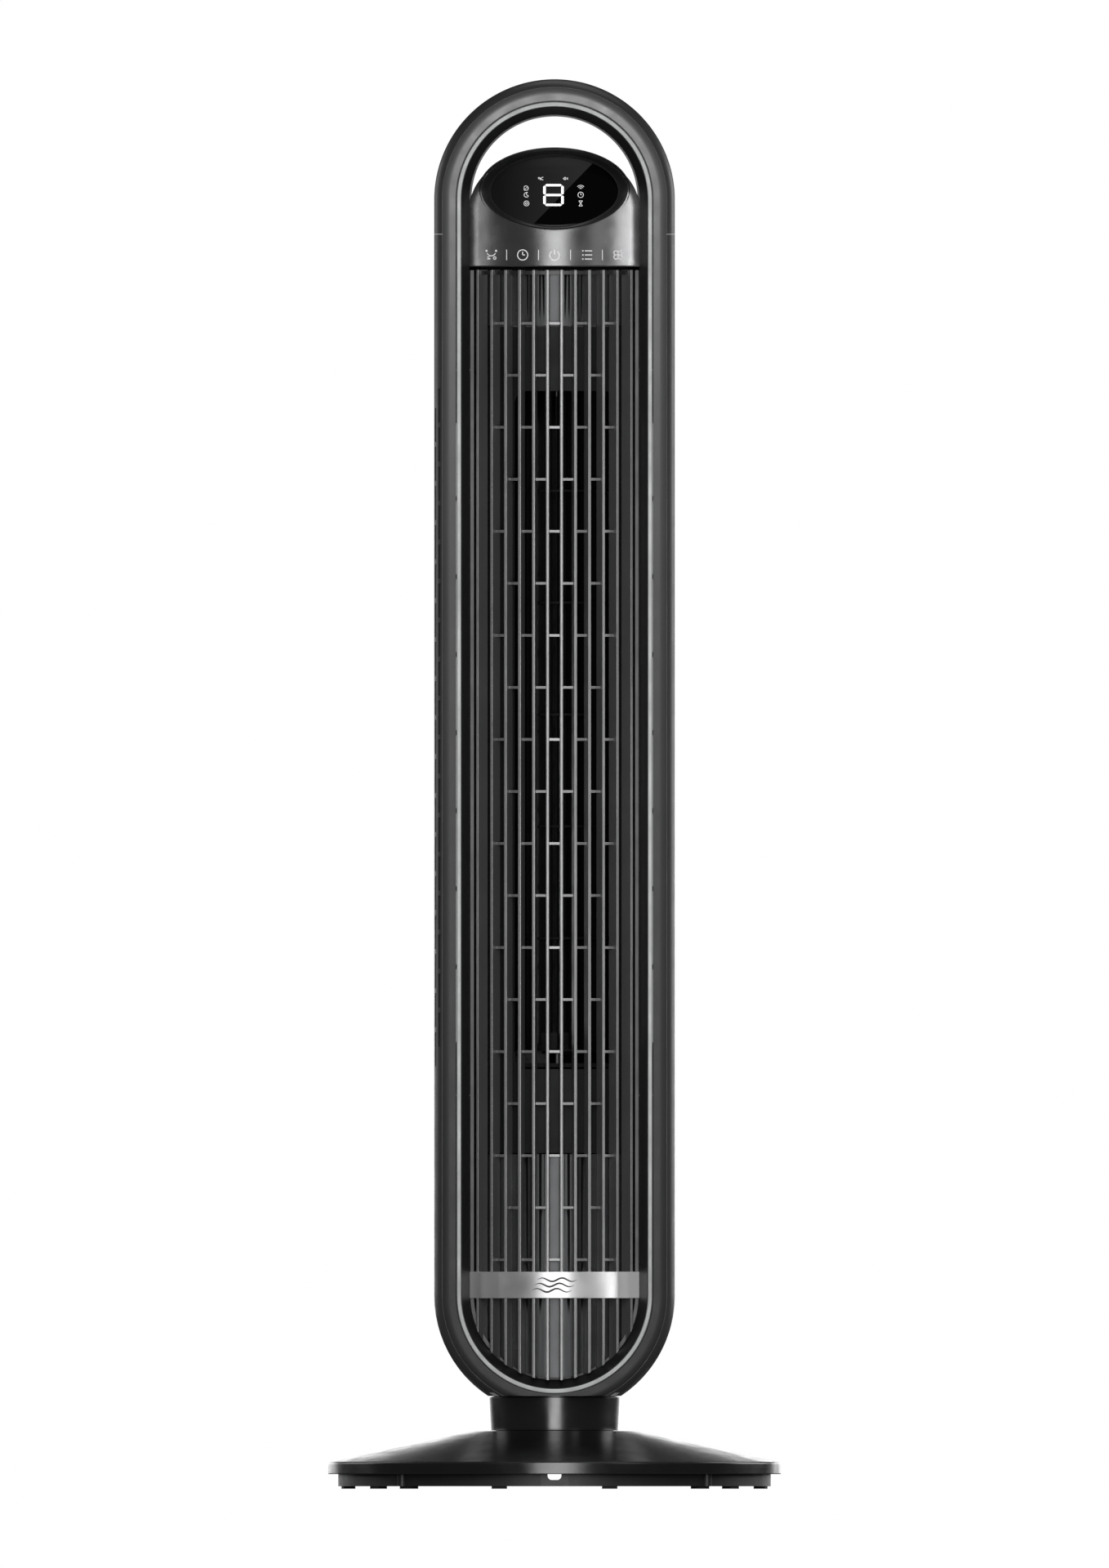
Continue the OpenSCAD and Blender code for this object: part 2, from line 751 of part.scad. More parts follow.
module rounded_rect(x0, z0, x1, z1, r) {
    translate([x0, z0 + r]) square([x1 - x0, z1 - z0 - 2 * r]);
    translate([x0 + r, z0]) square([x1 - x0 - 2 * r, z1 - z0]);
    for (x = [x0 + r, x1 - r]) for (z = [z0 + r, z1 - r]) translate([x, z]) circle(r, $fn = 48);
}

function scroll_r(t) = scroll_start_r + (scroll_end_r - scroll_start_r) * pow(t, 1.3);
function scroll_point(i, grow) =
    let (t = i / scroll_steps, turn = scroll_start + (scroll_end - scroll_start) * t, r = scroll_r(t) + grow)
    [impeller_x + r * cos(turn), impeller_y + r * sin(turn)];

// Spiral wall behind and beside the impeller
module scroll_casing() color([0.12, 0.125, 0.13]) translate([0, 0, casing_bottom])
    linear_extrude(casing_top - casing_bottom) polygon(concat(
        [for (i = [0:scroll_steps]) scroll_point(i, 0)],
        [for (i = [scroll_steps:-1:0]) scroll_point(i, casing_wall)]
    ));

// Tongue on the left of the outlet, with its rounded nose close to the impeller
module vortex_tongue() color([0.12, 0.125, 0.13]) {
    nose_r = 3;
    nose_gap = impeller_r + tongue_gap + nose_r;
    nose_x = impeller_x - nose_gap * cos(45);
    nose_y = impeller_y - nose_gap * sin(45);
    mouth_x = -outlet_left - 0.5;
    mouth_y = arc_y - sqrt(pow(panel_back_r, 2) - pow(mouth_x, 2)) + 1.2;
    inner_r = nose_r - casing_wall;
    outer = [for (t = [0:10:90]) [nose_x + nose_r * cos(t), nose_y + nose_r * sin(t)]];
    inner = [for (t = [90:-30:0]) [nose_x + inner_r * cos(t), nose_y + inner_r * sin(t)]];
    translate([0, 0, casing_bottom + fit_gap]) linear_extrude(casing_top - casing_bottom - 2 * fit_gap)
        polygon(concat(
            [[mouth_x, mouth_y]], outer,
            [[-field_r + 5, nose_y + nose_r], [-field_r + 5, nose_y + inner_r]], inner,
            [[mouth_x - casing_wall, mouth_y]]
        ));
}

// Plate that closes one end of the casing
module end_plate(z, hole_r) {
    difference() {
        intersection() {
            translate([0, 0, z]) linear_extrude(plate_t) intersection() {
                union() {
                    translate([impeller_x, impeller_y]) circle(impeller_r + 9);
                    translate([-outlet_left - 22, outlet_y])
                        square([outlet_left + 22 + scroll_end_x, impeller_y - outlet_y]);
                    translate([impeller_x, impeller_y - 16]) square([scroll_end_r - 4, 32]);
                }
                translate([0, arc_y]) circle(panel_back_r - 0.5, $fn = 180);
            }
            body_solid(wall + 0.8);
        }
        translate([impeller_x, impeller_y, z - cut]) cylinder(r = hole_r, h = plate_t + 2 * cut);
        plate_screw_places() translate([0, 0, z - cut])
            cylinder(r = plate_hole_r, h = plate_t + 2 * cut, $fn = 24);
    }
}

module plate_screw_places() {
    for (turn = [45:90:315])
        translate([impeller_x, impeller_y, 0]) rotate([0, 0, turn])
            translate([plate_screw_ring_r, 0, 0]) children();
}

module casing_top_plate() color([0.14, 0.145, 0.15]) end_plate(casing_top + fit_gap, bearing_seat_r + 1);

module casing_bottom_plate() color([0.14, 0.145, 0.15])
    end_plate(casing_bottom - plate_t - fit_gap, motor_shaft_r + 8);

module at_impeller(z) {
    translate([impeller_x, impeller_y, z]) children();
}

// Cross-flow impeller: curved blades between open discs
module impeller() color([0.07, 0.072, 0.075]) {
    at_impeller(impeller_bottom) linear_extrude(impeller_length) for (i = [0:blade_count - 1])
        rotate(i * 360 / blade_count) polygon([
            [blade_in_r, 0], [blade_in_r + 4, 1.6], [impeller_r - 3, 2.5], [impeller_r - 0.5, 2.6],
            [impeller_r - 0.5, 3.7], [impeller_r - 3.2, 3.7], [blade_in_r + 3.6, 2.8], [blade_in_r, 1.2]
        ]);
    at_impeller(impeller_bottom) for (i = [0:segment_count])
        translate([0, 0, i * segment_pitch]) difference() {
            cylinder(r = impeller_r, h = disc_t);
            translate([0, 0, -cut]) cylinder(r = disc_bore(i), h = disc_t + 2 * cut);
        }
}

function disc_bore(i) = i == 0 ? 12 : (i == segment_count ? 6 : blade_in_r - 4);

module impeller_hub() color([0.09, 0.09, 0.09]) at_impeller(impeller_bottom - 2) difference() {
    union() {
        cylinder(r = 11.8, h = hub_length);
        translate([0, 0, disc_t + 2.2]) cylinder(r = 16, h = 3);
    }
    translate([0, 0, -cut]) cylinder(r = motor_shaft_r, h = hub_length + 2 * cut);
}

module motor_shaft() color([0.7, 0.7, 0.72]) at_impeller(motor_bottom + 3)
    cylinder(r = motor_shaft_r, h = impeller_bottom + 12 - motor_bottom - 3);

module stub_shaft() color([0.7, 0.7, 0.72]) {
    at_impeller(stub_bottom) cylinder(r = stub_shaft_r, h = stub_top - 3 - stub_bottom);
    at_impeller(impeller_top - disc_t - 3) difference() {
        cylinder(r = 9, h = 3);
        translate([0, 0, -cut]) cylinder(r = stub_shaft_r - 0.01, h = 3 + 2 * cut);
    }
    at_impeller(impeller_top - disc_t - 0.01) difference() {
        cylinder(r = 5.9, h = disc_t);
        translate([0, 0, -cut]) cylinder(r = stub_shaft_r - 0.01, h = disc_t + 2 * cut);
    }
}

module motor_can() color([0.55, 0.56, 0.57]) difference() {
    at_impeller(motor_bottom) {
        cylinder(r = motor_r, h = motor_height);
        translate([0, 0, motor_height]) cylinder(r = 9, h = 4);
        translate([0, 0, motor_height / 2 - 2]) cylinder(r = motor_r + 2, h = 4);
    }
    at_impeller(motor_bottom + 2) cylinder(r = motor_shaft_r + shaft_clear, h = motor_height + 10);
    plate_screw_places() translate([0, 0, motor_bottom - cut]) cylinder(r = pilot_r, h = 5 + cut, $fn = 24);
}

// Cup under the casing that carries the motor on rubber grommets
module motor_bracket() color([0.16, 0.165, 0.17]) {
    cup_r = motor_r + 7;
    cup_bottom = motor_bottom - 6;
    at_impeller(cup_bottom) difference() {
        cylinder(r = cup_r, h = casing_bottom - plate_t - 2 * fit_gap - cup_bottom);
        translate([0, 0, wall]) cylinder(r = cup_r - wall, h = 200);
        translate([0, 0, -cut]) cylinder(r = 20, h = 10);
        for (turn = [45:90:315]) rotate([0, 0, turn]) translate([plate_screw_ring_r, 0, -cut])
            cylinder(r = plate_hole_r, h = 10, $fn = 24);
        for (turn = [0:60:300]) rotate([0, 0, turn + 30]) translate([cup_r - 8, -7, 10]) cube([16, 14, 28]);
    }
    plate_screw_places() translate([0, 0, cup_bottom + wall - 0.1]) difference() {
        cylinder(r = 4, h = 1, $fn = 32);
        translate([0, 0, -cut]) cylinder(r = plate_hole_r, h = 6, $fn = 24);
    }
}

module motor_grommets() color([0.05, 0.05, 0.05]) plate_screw_places()
    translate([0, 0, motor_bottom - 2.5]) difference() {
        cylinder(r = 5, h = 2.4, $fn = 32);
        translate([0, 0, -cut]) cylinder(r = plate_hole_r, h = 6, $fn = 24);
    }

module motor_screws() color([0.75, 0.75, 0.76]) plate_screw_places() {
    translate([0, 0, motor_bottom - 9]) cylinder(r = 3, h = 2.9, $fn = 32);
    translate([0, 0, motor_bottom - 6.2]) cylinder(r = 1.5, h = 10, $fn = 24);
}

module top_bearing() color([0.72, 0.55, 0.3]) at_impeller(casing_top + 1) difference() {
    cylinder(r = bearing_r, h = bearing_length);
    translate([0, 0, -cut]) cylinder(r = stub_shaft_r + shaft_clear, h = bearing_length + 2 * cut);
}

module bearing_seat() color([0.05, 0.05, 0.05]) at_impeller(casing_top + 1) difference() {
    cylinder(r = bearing_seat_r, h = bearing_length - 1);
    translate([0, 0, -cut]) cylinder(r = bearing_r, h = bearing_length + 2 * cut);
}

module bearing_cap() color([0.16, 0.165, 0.17]) at_impeller(casing_top + plate_t + 2 * fit_gap) difference() {
    union() {
        cylinder(r = bearing_seat_r + 4, h = bearing_length + 2);
        for (turn = [45:90:315]) rotate([0, 0, turn]) translate([0, -4, 0]) cube([36, 8, 3]);
    }
    translate([0, 0, -cut]) cylinder(r = bearing_seat_r + 0.3, h = bearing_length - 2 + cut);
    translate([0, 0, 2]) cylinder(r = stub_shaft_r + 2, h = 20);
    for (turn = [45:90:315]) rotate([0, 0, turn]) translate([plate_screw_ring_r, 0, -cut])
        cylinder(r = plate_hole_r, h = 6, $fn = 24);
}

module cover_screws() color([0.75, 0.75, 0.76]) plate_screw_places() {
    translate([0, 0, casing_top + plate_t + 2 * fit_gap + 3]) cylinder(r = 2.8, h = 2, $fn = 32);
    translate([0, 0, casing_top + fit_gap]) cylinder(r = 1.5, h = plate_t + 3.2, $fn = 24);
}

module neck() color([0.16, 0.165, 0.17]) difference() {
    union() {
        translate([0, 0, neck_bottom])
            cylinder(r1 = neck_r - neck_draft, r2 = neck_r, h = neck_top - neck_bottom);
        translate([0, 0, neck_top - cut]) cylinder(r = neck_step_r, h = body_bottom - 0.05 - neck_top + cut);
        translate([0, 0, neck_top - cut]) cylinder(r = spigot_r, h = floor_z - neck_top + cut - fit_gap);
    }
    translate([0, 0, neck_floor + neck_floor_t])
        cylinder(r = neck_r - neck_draft - 2 * neck_wall,
            h = neck_top - neck_wall - neck_floor - neck_floor_t);
    translate([0, 0, neck_bottom - cut])
        cylinder(r = neck_r - neck_draft - neck_wall, h = neck_floor - neck_bottom + cut);
    translate([0, 0, neck_bottom]) cylinder(r = pivot_r + shaft_clear, h = neck_height);
    translate([0, 0, neck_top - neck_wall - cut]) cylinder(r = spigot_bore_r, h = neck_height);
    for (turn = [45:90:315]) rotate([0, 0, turn]) translate([neck_screw_ring_r, 0, neck_top - 4])
        cylinder(r = 1.3, h = 20, $fn = 24);
}

module neck_screws() color([0.75, 0.75, 0.76]) for (turn = [45:90:315]) rotate([0, 0, turn])
    translate([neck_screw_ring_r, 0, 0]) {
        translate([0, 0, floor_z + floor_t]) cylinder(r = 2.6, h = 2, $fn = 32);
        translate([0, 0, neck_top - 2])
            cylinder(r = 1.3, h = floor_z + floor_t + 0.1 - neck_top + 2, $fn = 24);
    }

module column_floor() color([0.14, 0.145, 0.15]) difference() {
    intersection() {
        translate([-body_r, plate_back_y + 12, floor_z]) cube([body_width, body_depth - 24, floor_t]);
        body_solid(wall + fit_gap);
    }
    translate([0, centre_gap, floor_z - cut]) cylinder(r = spindle_r + shaft_clear, h = floor_t + 2 * cut);
    translate([0, 0, floor_z - cut]) cylinder(r = 18, h = floor_t + 2 * cut);
    for (turn = [45:90:315]) rotate([0, 0, turn]) translate([neck_screw_ring_r, 0, floor_z - cut])
        cylinder(r = 1.5, h = floor_t + 2 * cut, $fn = 24);
    swing_screw_places() translate([0, 0, floor_z - cut]) cylinder(r = 1.3, h = floor_t + 2 * cut, $fn = 24);
}

module swing_screw_places() {
    for (side = [-1, 1]) translate([side * 17.5, centre_gap + 8, 0]) children();
}

module swing_motor() color([0.78, 0.78, 0.78]) difference() {
    union() {
        translate([0, centre_gap + 8, swing_motor_z]) cylinder(r = swing_motor_r, h = swing_motor_height);
        translate([-21, centre_gap + 4.5, swing_motor_z]) cube([42, 7, 1]);
    }
    translate([0, centre_gap, swing_motor_z - cut]) cylinder(r = spindle_r + shaft_clear, h = 11);
    swing_screw_places() translate([0, 0, swing_motor_z - cut]) cylinder(r = 1.5, h = 3, $fn = 24);
}

module swing_motor_screws() color([0.75, 0.75, 0.76]) swing_screw_places() {
    translate([0, 0, swing_motor_z + 1]) cylinder(r = 2.4, h = 1.8, $fn = 32);
    translate([0, 0, floor_z]) cylinder(r = 1.3, h = floor_t + 1.2, $fn = 24);
}

function involute_turn(r, base_r) = let (a = acos(min(1, base_r / r))) tan(a) * 180 / PI - a;

// Outline of a spur gear with involute teeth, one tooth centred on +X
module gear_outline(teeth) {
    pitch_r = teeth * gear_module / 2;
    flank_r = pitch_r * cos(pressure_angle);
    tip_r = pitch_r + 0.95 * gear_module;
    root_r = pitch_r - 1.25 * gear_module;
    start_r = max(flank_r, root_r);
    half = 90 / teeth - tooth_play / pitch_r * 45 / PI + involute_turn(pitch_r, flank_r);
    radii = [for (i = [0:3]) start_r + (tip_r - start_r) * i / 3];
    side = [for (r = radii) [r, half - involute_turn(r, flank_r)]];
    polygon([for (i = [0:teeth - 1]) for (p = concat(
        [[root_r, -half]], [for (k = [0:3]) [side[k][0], -side[k][1]]],
        [for (k = [3:-1:0]) side[k]], [[root_r, half]]
    )) let (turn = i * 360 / teeth + p[1]) [p[0] * cos(turn), p[0] * sin(turn)]]);
}

module swing_gear() color([0.85, 0.85, 0.82]) translate([0, 0, gear_bottom]) difference() {
    linear_extrude(gear_t) gear_outline(gear_teeth);
    translate([0, 0, -cut]) cylinder(r = pivot_r, h = gear_t + 2 * cut);
}

module swing_pinion() color([0.85, 0.85, 0.82]) {
    translate([0, centre_gap, gear_bottom + 0.4]) rotate([0, 0, 90 + 180 / pinion_teeth])
        linear_extrude(gear_t - 0.8) gear_outline(pinion_teeth);
    translate([0, centre_gap, gear_bottom + 0.4])
        cylinder(r = spindle_r, h = swing_motor_z + 8 - gear_bottom);
}

module pivot_tube() color([0.82, 0.82, 0.8]) difference() {
    union() {
        translate([0, 0, pivot_bottom]) cylinder(r = pivot_r, h = pivot_top - pivot_bottom);
        translate([0, 0, pivot_bottom]) cylinder(r = pivot_flange_r, h = pivot_flange_t - fit_gap);
    }
    translate([0, 0, -cut]) cylinder(r = pivot_r - pivot_wall, h = total_height);
    pivot_screw_places() cylinder(r = 1.7, h = base_height, $fn = 24);
}

module pivot_screw_places() {
    for (turn = [0:90:270]) rotate([0, 0, turn]) translate([pivot_screw_ring_r, 0, 0]) children();
}

module pivot_screws() color([0.75, 0.75, 0.76]) pivot_screw_places() {
    translate([0, 0, pivot_bottom - 2]) cylinder(r = 2.8, h = 1.9, $fn = 32);
    translate([0, 0, pivot_bottom - 0.2]) cylinder(r = pilot_r, h = cover_wall + 5.2, $fn = 24);
}

module thrust_ring() color([0.9, 0.9, 0.88]) translate([0, 0, base_height]) difference() {
    cylinder(r = neck_r - neck_draft - neck_wall - 0.5, h = neck_floor - base_height - 0.1);
    translate([0, 0, -cut]) cylinder(r = 24, h = 10);
}

// Cover of the base: a flat middle, a shallow cone and a rim
module base_cover() color([0.2, 0.203, 0.207]) difference() {
    union() {
        base_cap();
        rim_post_places() translate([0, 0, skirt_top + fit_gap]) cylinder(r = 4, h = 8, $fn = 32);
    }
    rim_post_places() translate([0, 0, skirt_top]) cylinder(r = 1.5, h = 6.5, $fn = 24);
    pivot_screw_places() cylinder(r = 1.5, h = base_height - 0.8, $fn = 24);
}

module rim_post_places() {
    for (turn = [45:90:315]) rotate([0, 0, turn]) translate([rim_post_ring_r, 0, 0]) children();
}

module base_cap() {
    rotate_extrude($fn = 180) polygon([
        [pivot_r + fit_gap, base_height - cover_wall], [pivot_r + fit_gap, base_height],
        [plateau_r, base_height],
        [base_r - 1.2, rim_top + 0.4], [base_r, rim_top - 0.8], [base_r, rim_bottom],
        [base_r - cover_wall, rim_bottom], [base_r - cover_wall, rim_top - cover_wall],
        [plateau_r - 1, base_height - cover_wall]
    ]);
}

module cord_notch(y0, y1) {
    corner = 3.2;
    along_y(y0, y1) {
        translate([-cord_slot_width / 2, cord_slot_bottom + corner]) square([cord_slot_width, 30]);
        translate([-cord_slot_width / 2 + corner, cord_slot_bottom])
            square([cord_slot_width - 2 * corner, 30]);
        for (side = [-1, 1]) translate([side * (cord_slot_width / 2 - corner), cord_slot_bottom + corner])
            circle(corner, $fn = 32);
    }
}

// Tray under the base, with a skirt, screw posts and a cord notch front and back
module base_tray() color([0.13, 0.133, 0.137]) difference() {
    union() {
        difference() {
            translate([0, 0, tray_bottom]) cylinder(r = skirt_r, h = skirt_top - tray_bottom, $fn = 180);
            translate([0, 0, tray_bottom + tray_t]) cylinder(r = skirt_r - wall, h = 40, $fn = 180);
        }
        for (turn = [45:90:315]) rotate([0, 0, turn]) translate([skirt_r - 0.4, 0, tray_bottom])
            cylinder(r = boss_r, h = rim_bottom - tray_bottom - fit_gap, $fn = 32);
        rim_post_places() translate([0, 0, tray_bottom])
            cylinder(r = post_r, h = skirt_top - tray_bottom, $fn = 32);
        translate([0, 0, tray_bottom]) cylinder(r = weight_in_r - 4, h = cord_slot_bottom - tray_bottom);
        for (side = [-1, 1]) translate([side * (cord_slot_width / 2 + 3) - 1, -skirt_r + 2, tray_bottom])
            cube([2, 2 * skirt_r - 4, 8]);
    }
    for (turn = [0, 180]) rotate([0, 0, turn]) {
        cord_notch(skirt_r - 8, skirt_r + 8);
        translate([-10.5, skirt_r - 1.2, -cut]) cube([21, 20, 40]);
    }
    rim_post_places() {
        translate([0, 0, -cut]) cylinder(r = 1.7, h = 40, $fn = 24);
        translate([0, 0, -cut]) cylinder(r = 3.3, h = tray_bottom + 4 + cut, $fn = 32);
    }
}

module base_screws() color([0.75, 0.75, 0.76]) rim_post_places() {
    translate([0, 0, tray_bottom + 2]) cylinder(r = 3, h = 1.9, $fn = 32);
    translate([0, 0, tray_bottom + 3.8]) cylinder(r = 1.5, h = skirt_top + 2 - tray_bottom, $fn = 24);
}

// Steel plates that keep the fan upright, one on each side of the cord channel
module base_weight() color([0.3, 0.3, 0.31]) difference() {
    translate([0, 0, weight_bottom]) cylinder(r = weight_out_r, h = weight_t, $fn = 180);
    translate([0, 0, weight_bottom - cut]) cylinder(r = weight_in_r, h = weight_t + 2 * cut);
    translate([-cord_slot_width / 2 - 6, -base_r, weight_bottom - cut])
        cube([cord_slot_width + 12, base_d, weight_t + 2 * cut]);
}

module foot_pad(turn, r0, r1, w0, w1) {
    rotate([0, 0, turn]) linear_extrude(foot_height) polygon([
        [r0, -w0 / 2], [r1, -w1 / 2], [r1, w1 / 2], [r0, w0 / 2]
    ]);
}

module rubber_feet() color([0.04, 0.04, 0.04]) {
    for (turn = [45:90:315]) rotate([0, 0, turn]) translate([skirt_r - foot_r - 1, 0, 0])
        cylinder(r = foot_r, h = foot_height, $fn = 48);
    for (turn = [10, 33, 75]) for (side = [0, 1]) for (end = [0, 1])
        mirror([side, 0, 0]) mirror([0, end, 0]) foot_pad(turn, skirt_r - 10, skirt_r - 1, 8, 11.4);
}

// Saddle that bridges the cord channel behind the rear notch and holds the lead down
module cord_clamp() color([0.1, 0.1, 0.1]) translate([0, skirt_r - 22, 0]) {
    half = cord_slot_width / 2 + 7;
    translate([-half, 0, rim_bottom + 0.3]) cube([2 * half, 8, 2.4]);
    for (side = [-1, 1]) translate([side * (half - 1.3) - 1.3, 0, tray_bottom + tray_t + fit_gap])
        cube([2.6, 8, rim_bottom + 1 - tray_bottom - tray_t]);
}

base_cover();
base_tray();
base_weight();
rubber_feet();
base_screws();
pivot_tube();
pivot_screws();
thrust_ring();
swing_gear();
cord_clamp();
neck();
neck_screws();
column_floor();
rear_shell();
handle_shell();
rear_grille();
grille_screws();
front_frame();
trim_ring();
inner_liner();
front_grille();
badge_band();
upper_baffle();
lower_baffle();
head_cover();
display_bezel();
display_lens();
display_board();
touch_board();
outlet_frame();
scroll_casing();
vortex_tongue();
casing_top_plate();
casing_bottom_plate();
motor_can();
motor_bracket();
motor_grommets();
motor_screws();
top_bearing();
bearing_seat();
bearing_cap();
control_board();
board_posts();
cover_screws();
swing_motor();
swing_motor_screws();
swing_pinion();
impeller();
impeller_hub();
motor_shaft();
stub_shaft();
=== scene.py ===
import json
import math
import bpy
import numpy as np
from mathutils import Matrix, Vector

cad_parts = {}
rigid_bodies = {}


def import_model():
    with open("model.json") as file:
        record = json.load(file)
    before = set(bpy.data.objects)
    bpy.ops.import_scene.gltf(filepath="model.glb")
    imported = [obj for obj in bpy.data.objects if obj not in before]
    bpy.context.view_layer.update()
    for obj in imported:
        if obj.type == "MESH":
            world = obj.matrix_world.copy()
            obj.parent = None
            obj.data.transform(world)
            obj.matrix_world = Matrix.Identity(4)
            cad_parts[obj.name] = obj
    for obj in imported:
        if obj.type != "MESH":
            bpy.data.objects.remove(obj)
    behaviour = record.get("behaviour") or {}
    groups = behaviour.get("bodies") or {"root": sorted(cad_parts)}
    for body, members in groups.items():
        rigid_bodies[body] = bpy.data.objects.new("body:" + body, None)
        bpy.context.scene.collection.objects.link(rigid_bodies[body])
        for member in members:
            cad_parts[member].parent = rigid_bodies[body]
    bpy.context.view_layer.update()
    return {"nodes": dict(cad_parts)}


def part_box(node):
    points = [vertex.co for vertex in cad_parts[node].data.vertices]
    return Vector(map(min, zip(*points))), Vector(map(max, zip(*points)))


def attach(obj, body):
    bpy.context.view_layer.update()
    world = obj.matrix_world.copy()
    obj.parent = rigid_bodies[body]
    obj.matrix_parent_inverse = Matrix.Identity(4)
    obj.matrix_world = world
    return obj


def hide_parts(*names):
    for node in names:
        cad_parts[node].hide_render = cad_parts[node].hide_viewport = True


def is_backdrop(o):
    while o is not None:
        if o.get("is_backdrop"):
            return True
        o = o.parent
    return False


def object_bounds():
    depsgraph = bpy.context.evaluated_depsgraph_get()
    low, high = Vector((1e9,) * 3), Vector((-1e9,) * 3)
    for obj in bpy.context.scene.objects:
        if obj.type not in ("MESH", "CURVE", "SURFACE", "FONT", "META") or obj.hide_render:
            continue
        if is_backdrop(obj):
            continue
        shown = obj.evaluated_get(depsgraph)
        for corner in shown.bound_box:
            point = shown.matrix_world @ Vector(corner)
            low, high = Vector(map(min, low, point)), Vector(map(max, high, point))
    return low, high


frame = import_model()
mm = 0.001
print("frame loaded,", len(frame["nodes"]), "nodes")


# places that the pieces below are built from, all read from the frame
def cadBox(node):
    low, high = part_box(node)
    return np.array(low), np.array(high)


ringLow, ringHigh = cadBox("trim_ring")
linerLow, linerHigh = cadBox("inner_liner")
headLow, headHigh = cadBox("head_cover")
badgeLow, badgeHigh = cadBox("badge_band")
baseLow, baseHigh = cadBox("base_cover")
frameLow = cadBox("front_frame")[0]
neckLow = cadBox("neck")[0]
grilleHigh = cadBox("front_grille")[1]

bodyRadius = cadBox("rear_shell")[1][0]
ringRadius = ringHigh[0]
topCentre = ringHigh[2] - ringRadius     # middle of the upper half-circle
lowCentre = ringLow[2] + ringRadius      # middle of the lower half-circle
frontY = frameLow[1]
fieldRadius = grilleHigh[0]
arcRadius = 97 * mm                      # the head and the fins stand on this upright arc
arcCentreY = headLow[1] + arcRadius

# camera: square on to the front and level, without perspective
cameraPlace = {"tall": 1.1858, "height": 0.5330, "distance": 3.0}
cameraData = bpy.data.cameras.new("camera")
cameraData.type = "ORTHO"
cameraData.ortho_scale = cameraPlace["tall"]
camera = bpy.data.objects.new("camera", cameraData)
camera.location = (0, -cameraPlace["distance"], cameraPlace["height"])
camera.rotation_euler = (math.radians(90), 0, 0)
bpy.context.scene.collection.objects.link(camera)
bpy.context.scene.camera = camera
bpy.context.scene.view_settings.view_transform = "Standard"

# studio: a white surround, tall soft lights at both sides, a narrow one in front, a wall behind the base
studio = {
    "surround": 1.0,        # what the camera sees behind the fan
    "fill": 0.06,           # grey light from all round
    "floorSize": 30.0,
    "floorColour": (0.80, 0.80, 0.80),
    # name: where its middle is, what it points at, its width and height, its brightness
    "lights": {
        "leftStrip": ((-1.13, 0.60, 0.75), (0, 0, 0.75), (0.75, 1.3), 1.4),
        "rightStrip": ((1.13, 0.60, 0.75), (0, 0, 0.75), (0.75, 1.3), 2.6),
        "frontStrip": ((0.02, -1.3, 0.56), (0, 0, 0.56), (0.44, 1.6), 5.6),
        "keySide": ((1.1, -1.4, 0.9), (0, 0, 0.6), (0.4, 1.2), 1.0),
        "topBox": ((0.2, 0.3, 2.3), (0, 0, 0.5), (1.2, 0.8), 1.0),
        "backWall": ((0.0, 2.6, 0.29), (0, 0, 0.1), (3.6, 0.58), 2.4),
        # these reach only the pieces named in lit, and nothing else shades them
        "archLight": ((0.00, -0.85, 1.08), (0, -0.05, 1.05), (0.09, 0.05), 560.0),
        "headLeft": ((-1.20, -0.12, 0.80), (0, 0, 0.92), (0.50, 0.5), 21.0),
        "headRight": ((1.18, -0.30, 0.80), (0, 0, 0.92), (0.50, 0.5), 42.0),
        "leftGlint": ((-1.28, -0.20, 0.60), (0, 0, 0.60), (0.80, 1.6), 4.0),
        "rightGlint": ((1.24, -0.38, 0.60), (0, 0, 0.60), (0.90, 1.6), 7.0),
        "leftFins": ((-1.24, -0.38, 0.60), (0, 0, 0.60), (0.80, 1.6), 1.6),
        "rightFins": ((1.24, -0.38, 0.60), (0, 0, 0.60), (0.90, 1.6), 3.6),
    },
    "lit": {"archLight": ["frontFrame"], "headLeft": ["headCover"], "headRight": ["headCover"],
            "leftGlint": ["badgeBand"], "rightGlint": ["badgeBand"],
            "leftFins": ["grilleFins"], "rightFins": ["grilleFins"]},
    "floorLight": 3.0,      # even light for the floor alone, soft enough for a contact shadow
    "floorLightAngle": 70,
}


def buildStudio(look):
    world = bpy.data.worlds.new("studio")
    bpy.context.scene.world = world
    world.use_nodes = True
    tree = world.node_tree
    tree.nodes.clear()
    rays = tree.nodes.new("ShaderNodeLightPath")
    seen = tree.nodes.new("ShaderNodeBackground")
    fill = tree.nodes.new("ShaderNodeBackground")
    mix = tree.nodes.new("ShaderNodeMixShader")
    out = tree.nodes.new("ShaderNodeOutputWorld")
    seen.inputs["Color"].default_value = (1, 1, 1, 1)
    seen.inputs["Strength"].default_value = look["surround"]
    fill.inputs["Color"].default_value = (1, 1, 1, 1)
    fill.inputs["Strength"].default_value = look["fill"]
    tree.links.new(rays.outputs["Is Camera Ray"], mix.inputs[0])
    tree.links.new(fill.outputs[0], mix.inputs[1])
    tree.links.new(seen.outputs[0], mix.inputs[2])
    tree.links.new(mix.outputs[0], out.inputs[0])
    for name, (place, aim, size, brightness) in look["lights"].items():
        data = bpy.data.lights.new(name, "AREA")
        data.shape = "RECTANGLE"
        data.size, data.size_y = size
        data.energy = brightness * math.pi * size[0] * size[1]     # watts that give that brightness
        lamp = bpy.data.objects.new(name, data)
        lamp.location = place
        lamp.rotation_euler = (Vector(aim) - Vector(place)).to_track_quat("-Z", "Y").to_euler()
        lamp.visible_camera = False
        bpy.context.scene.collection.objects.link(lamp)


buildStudio(studio)
print("camera and lights set")


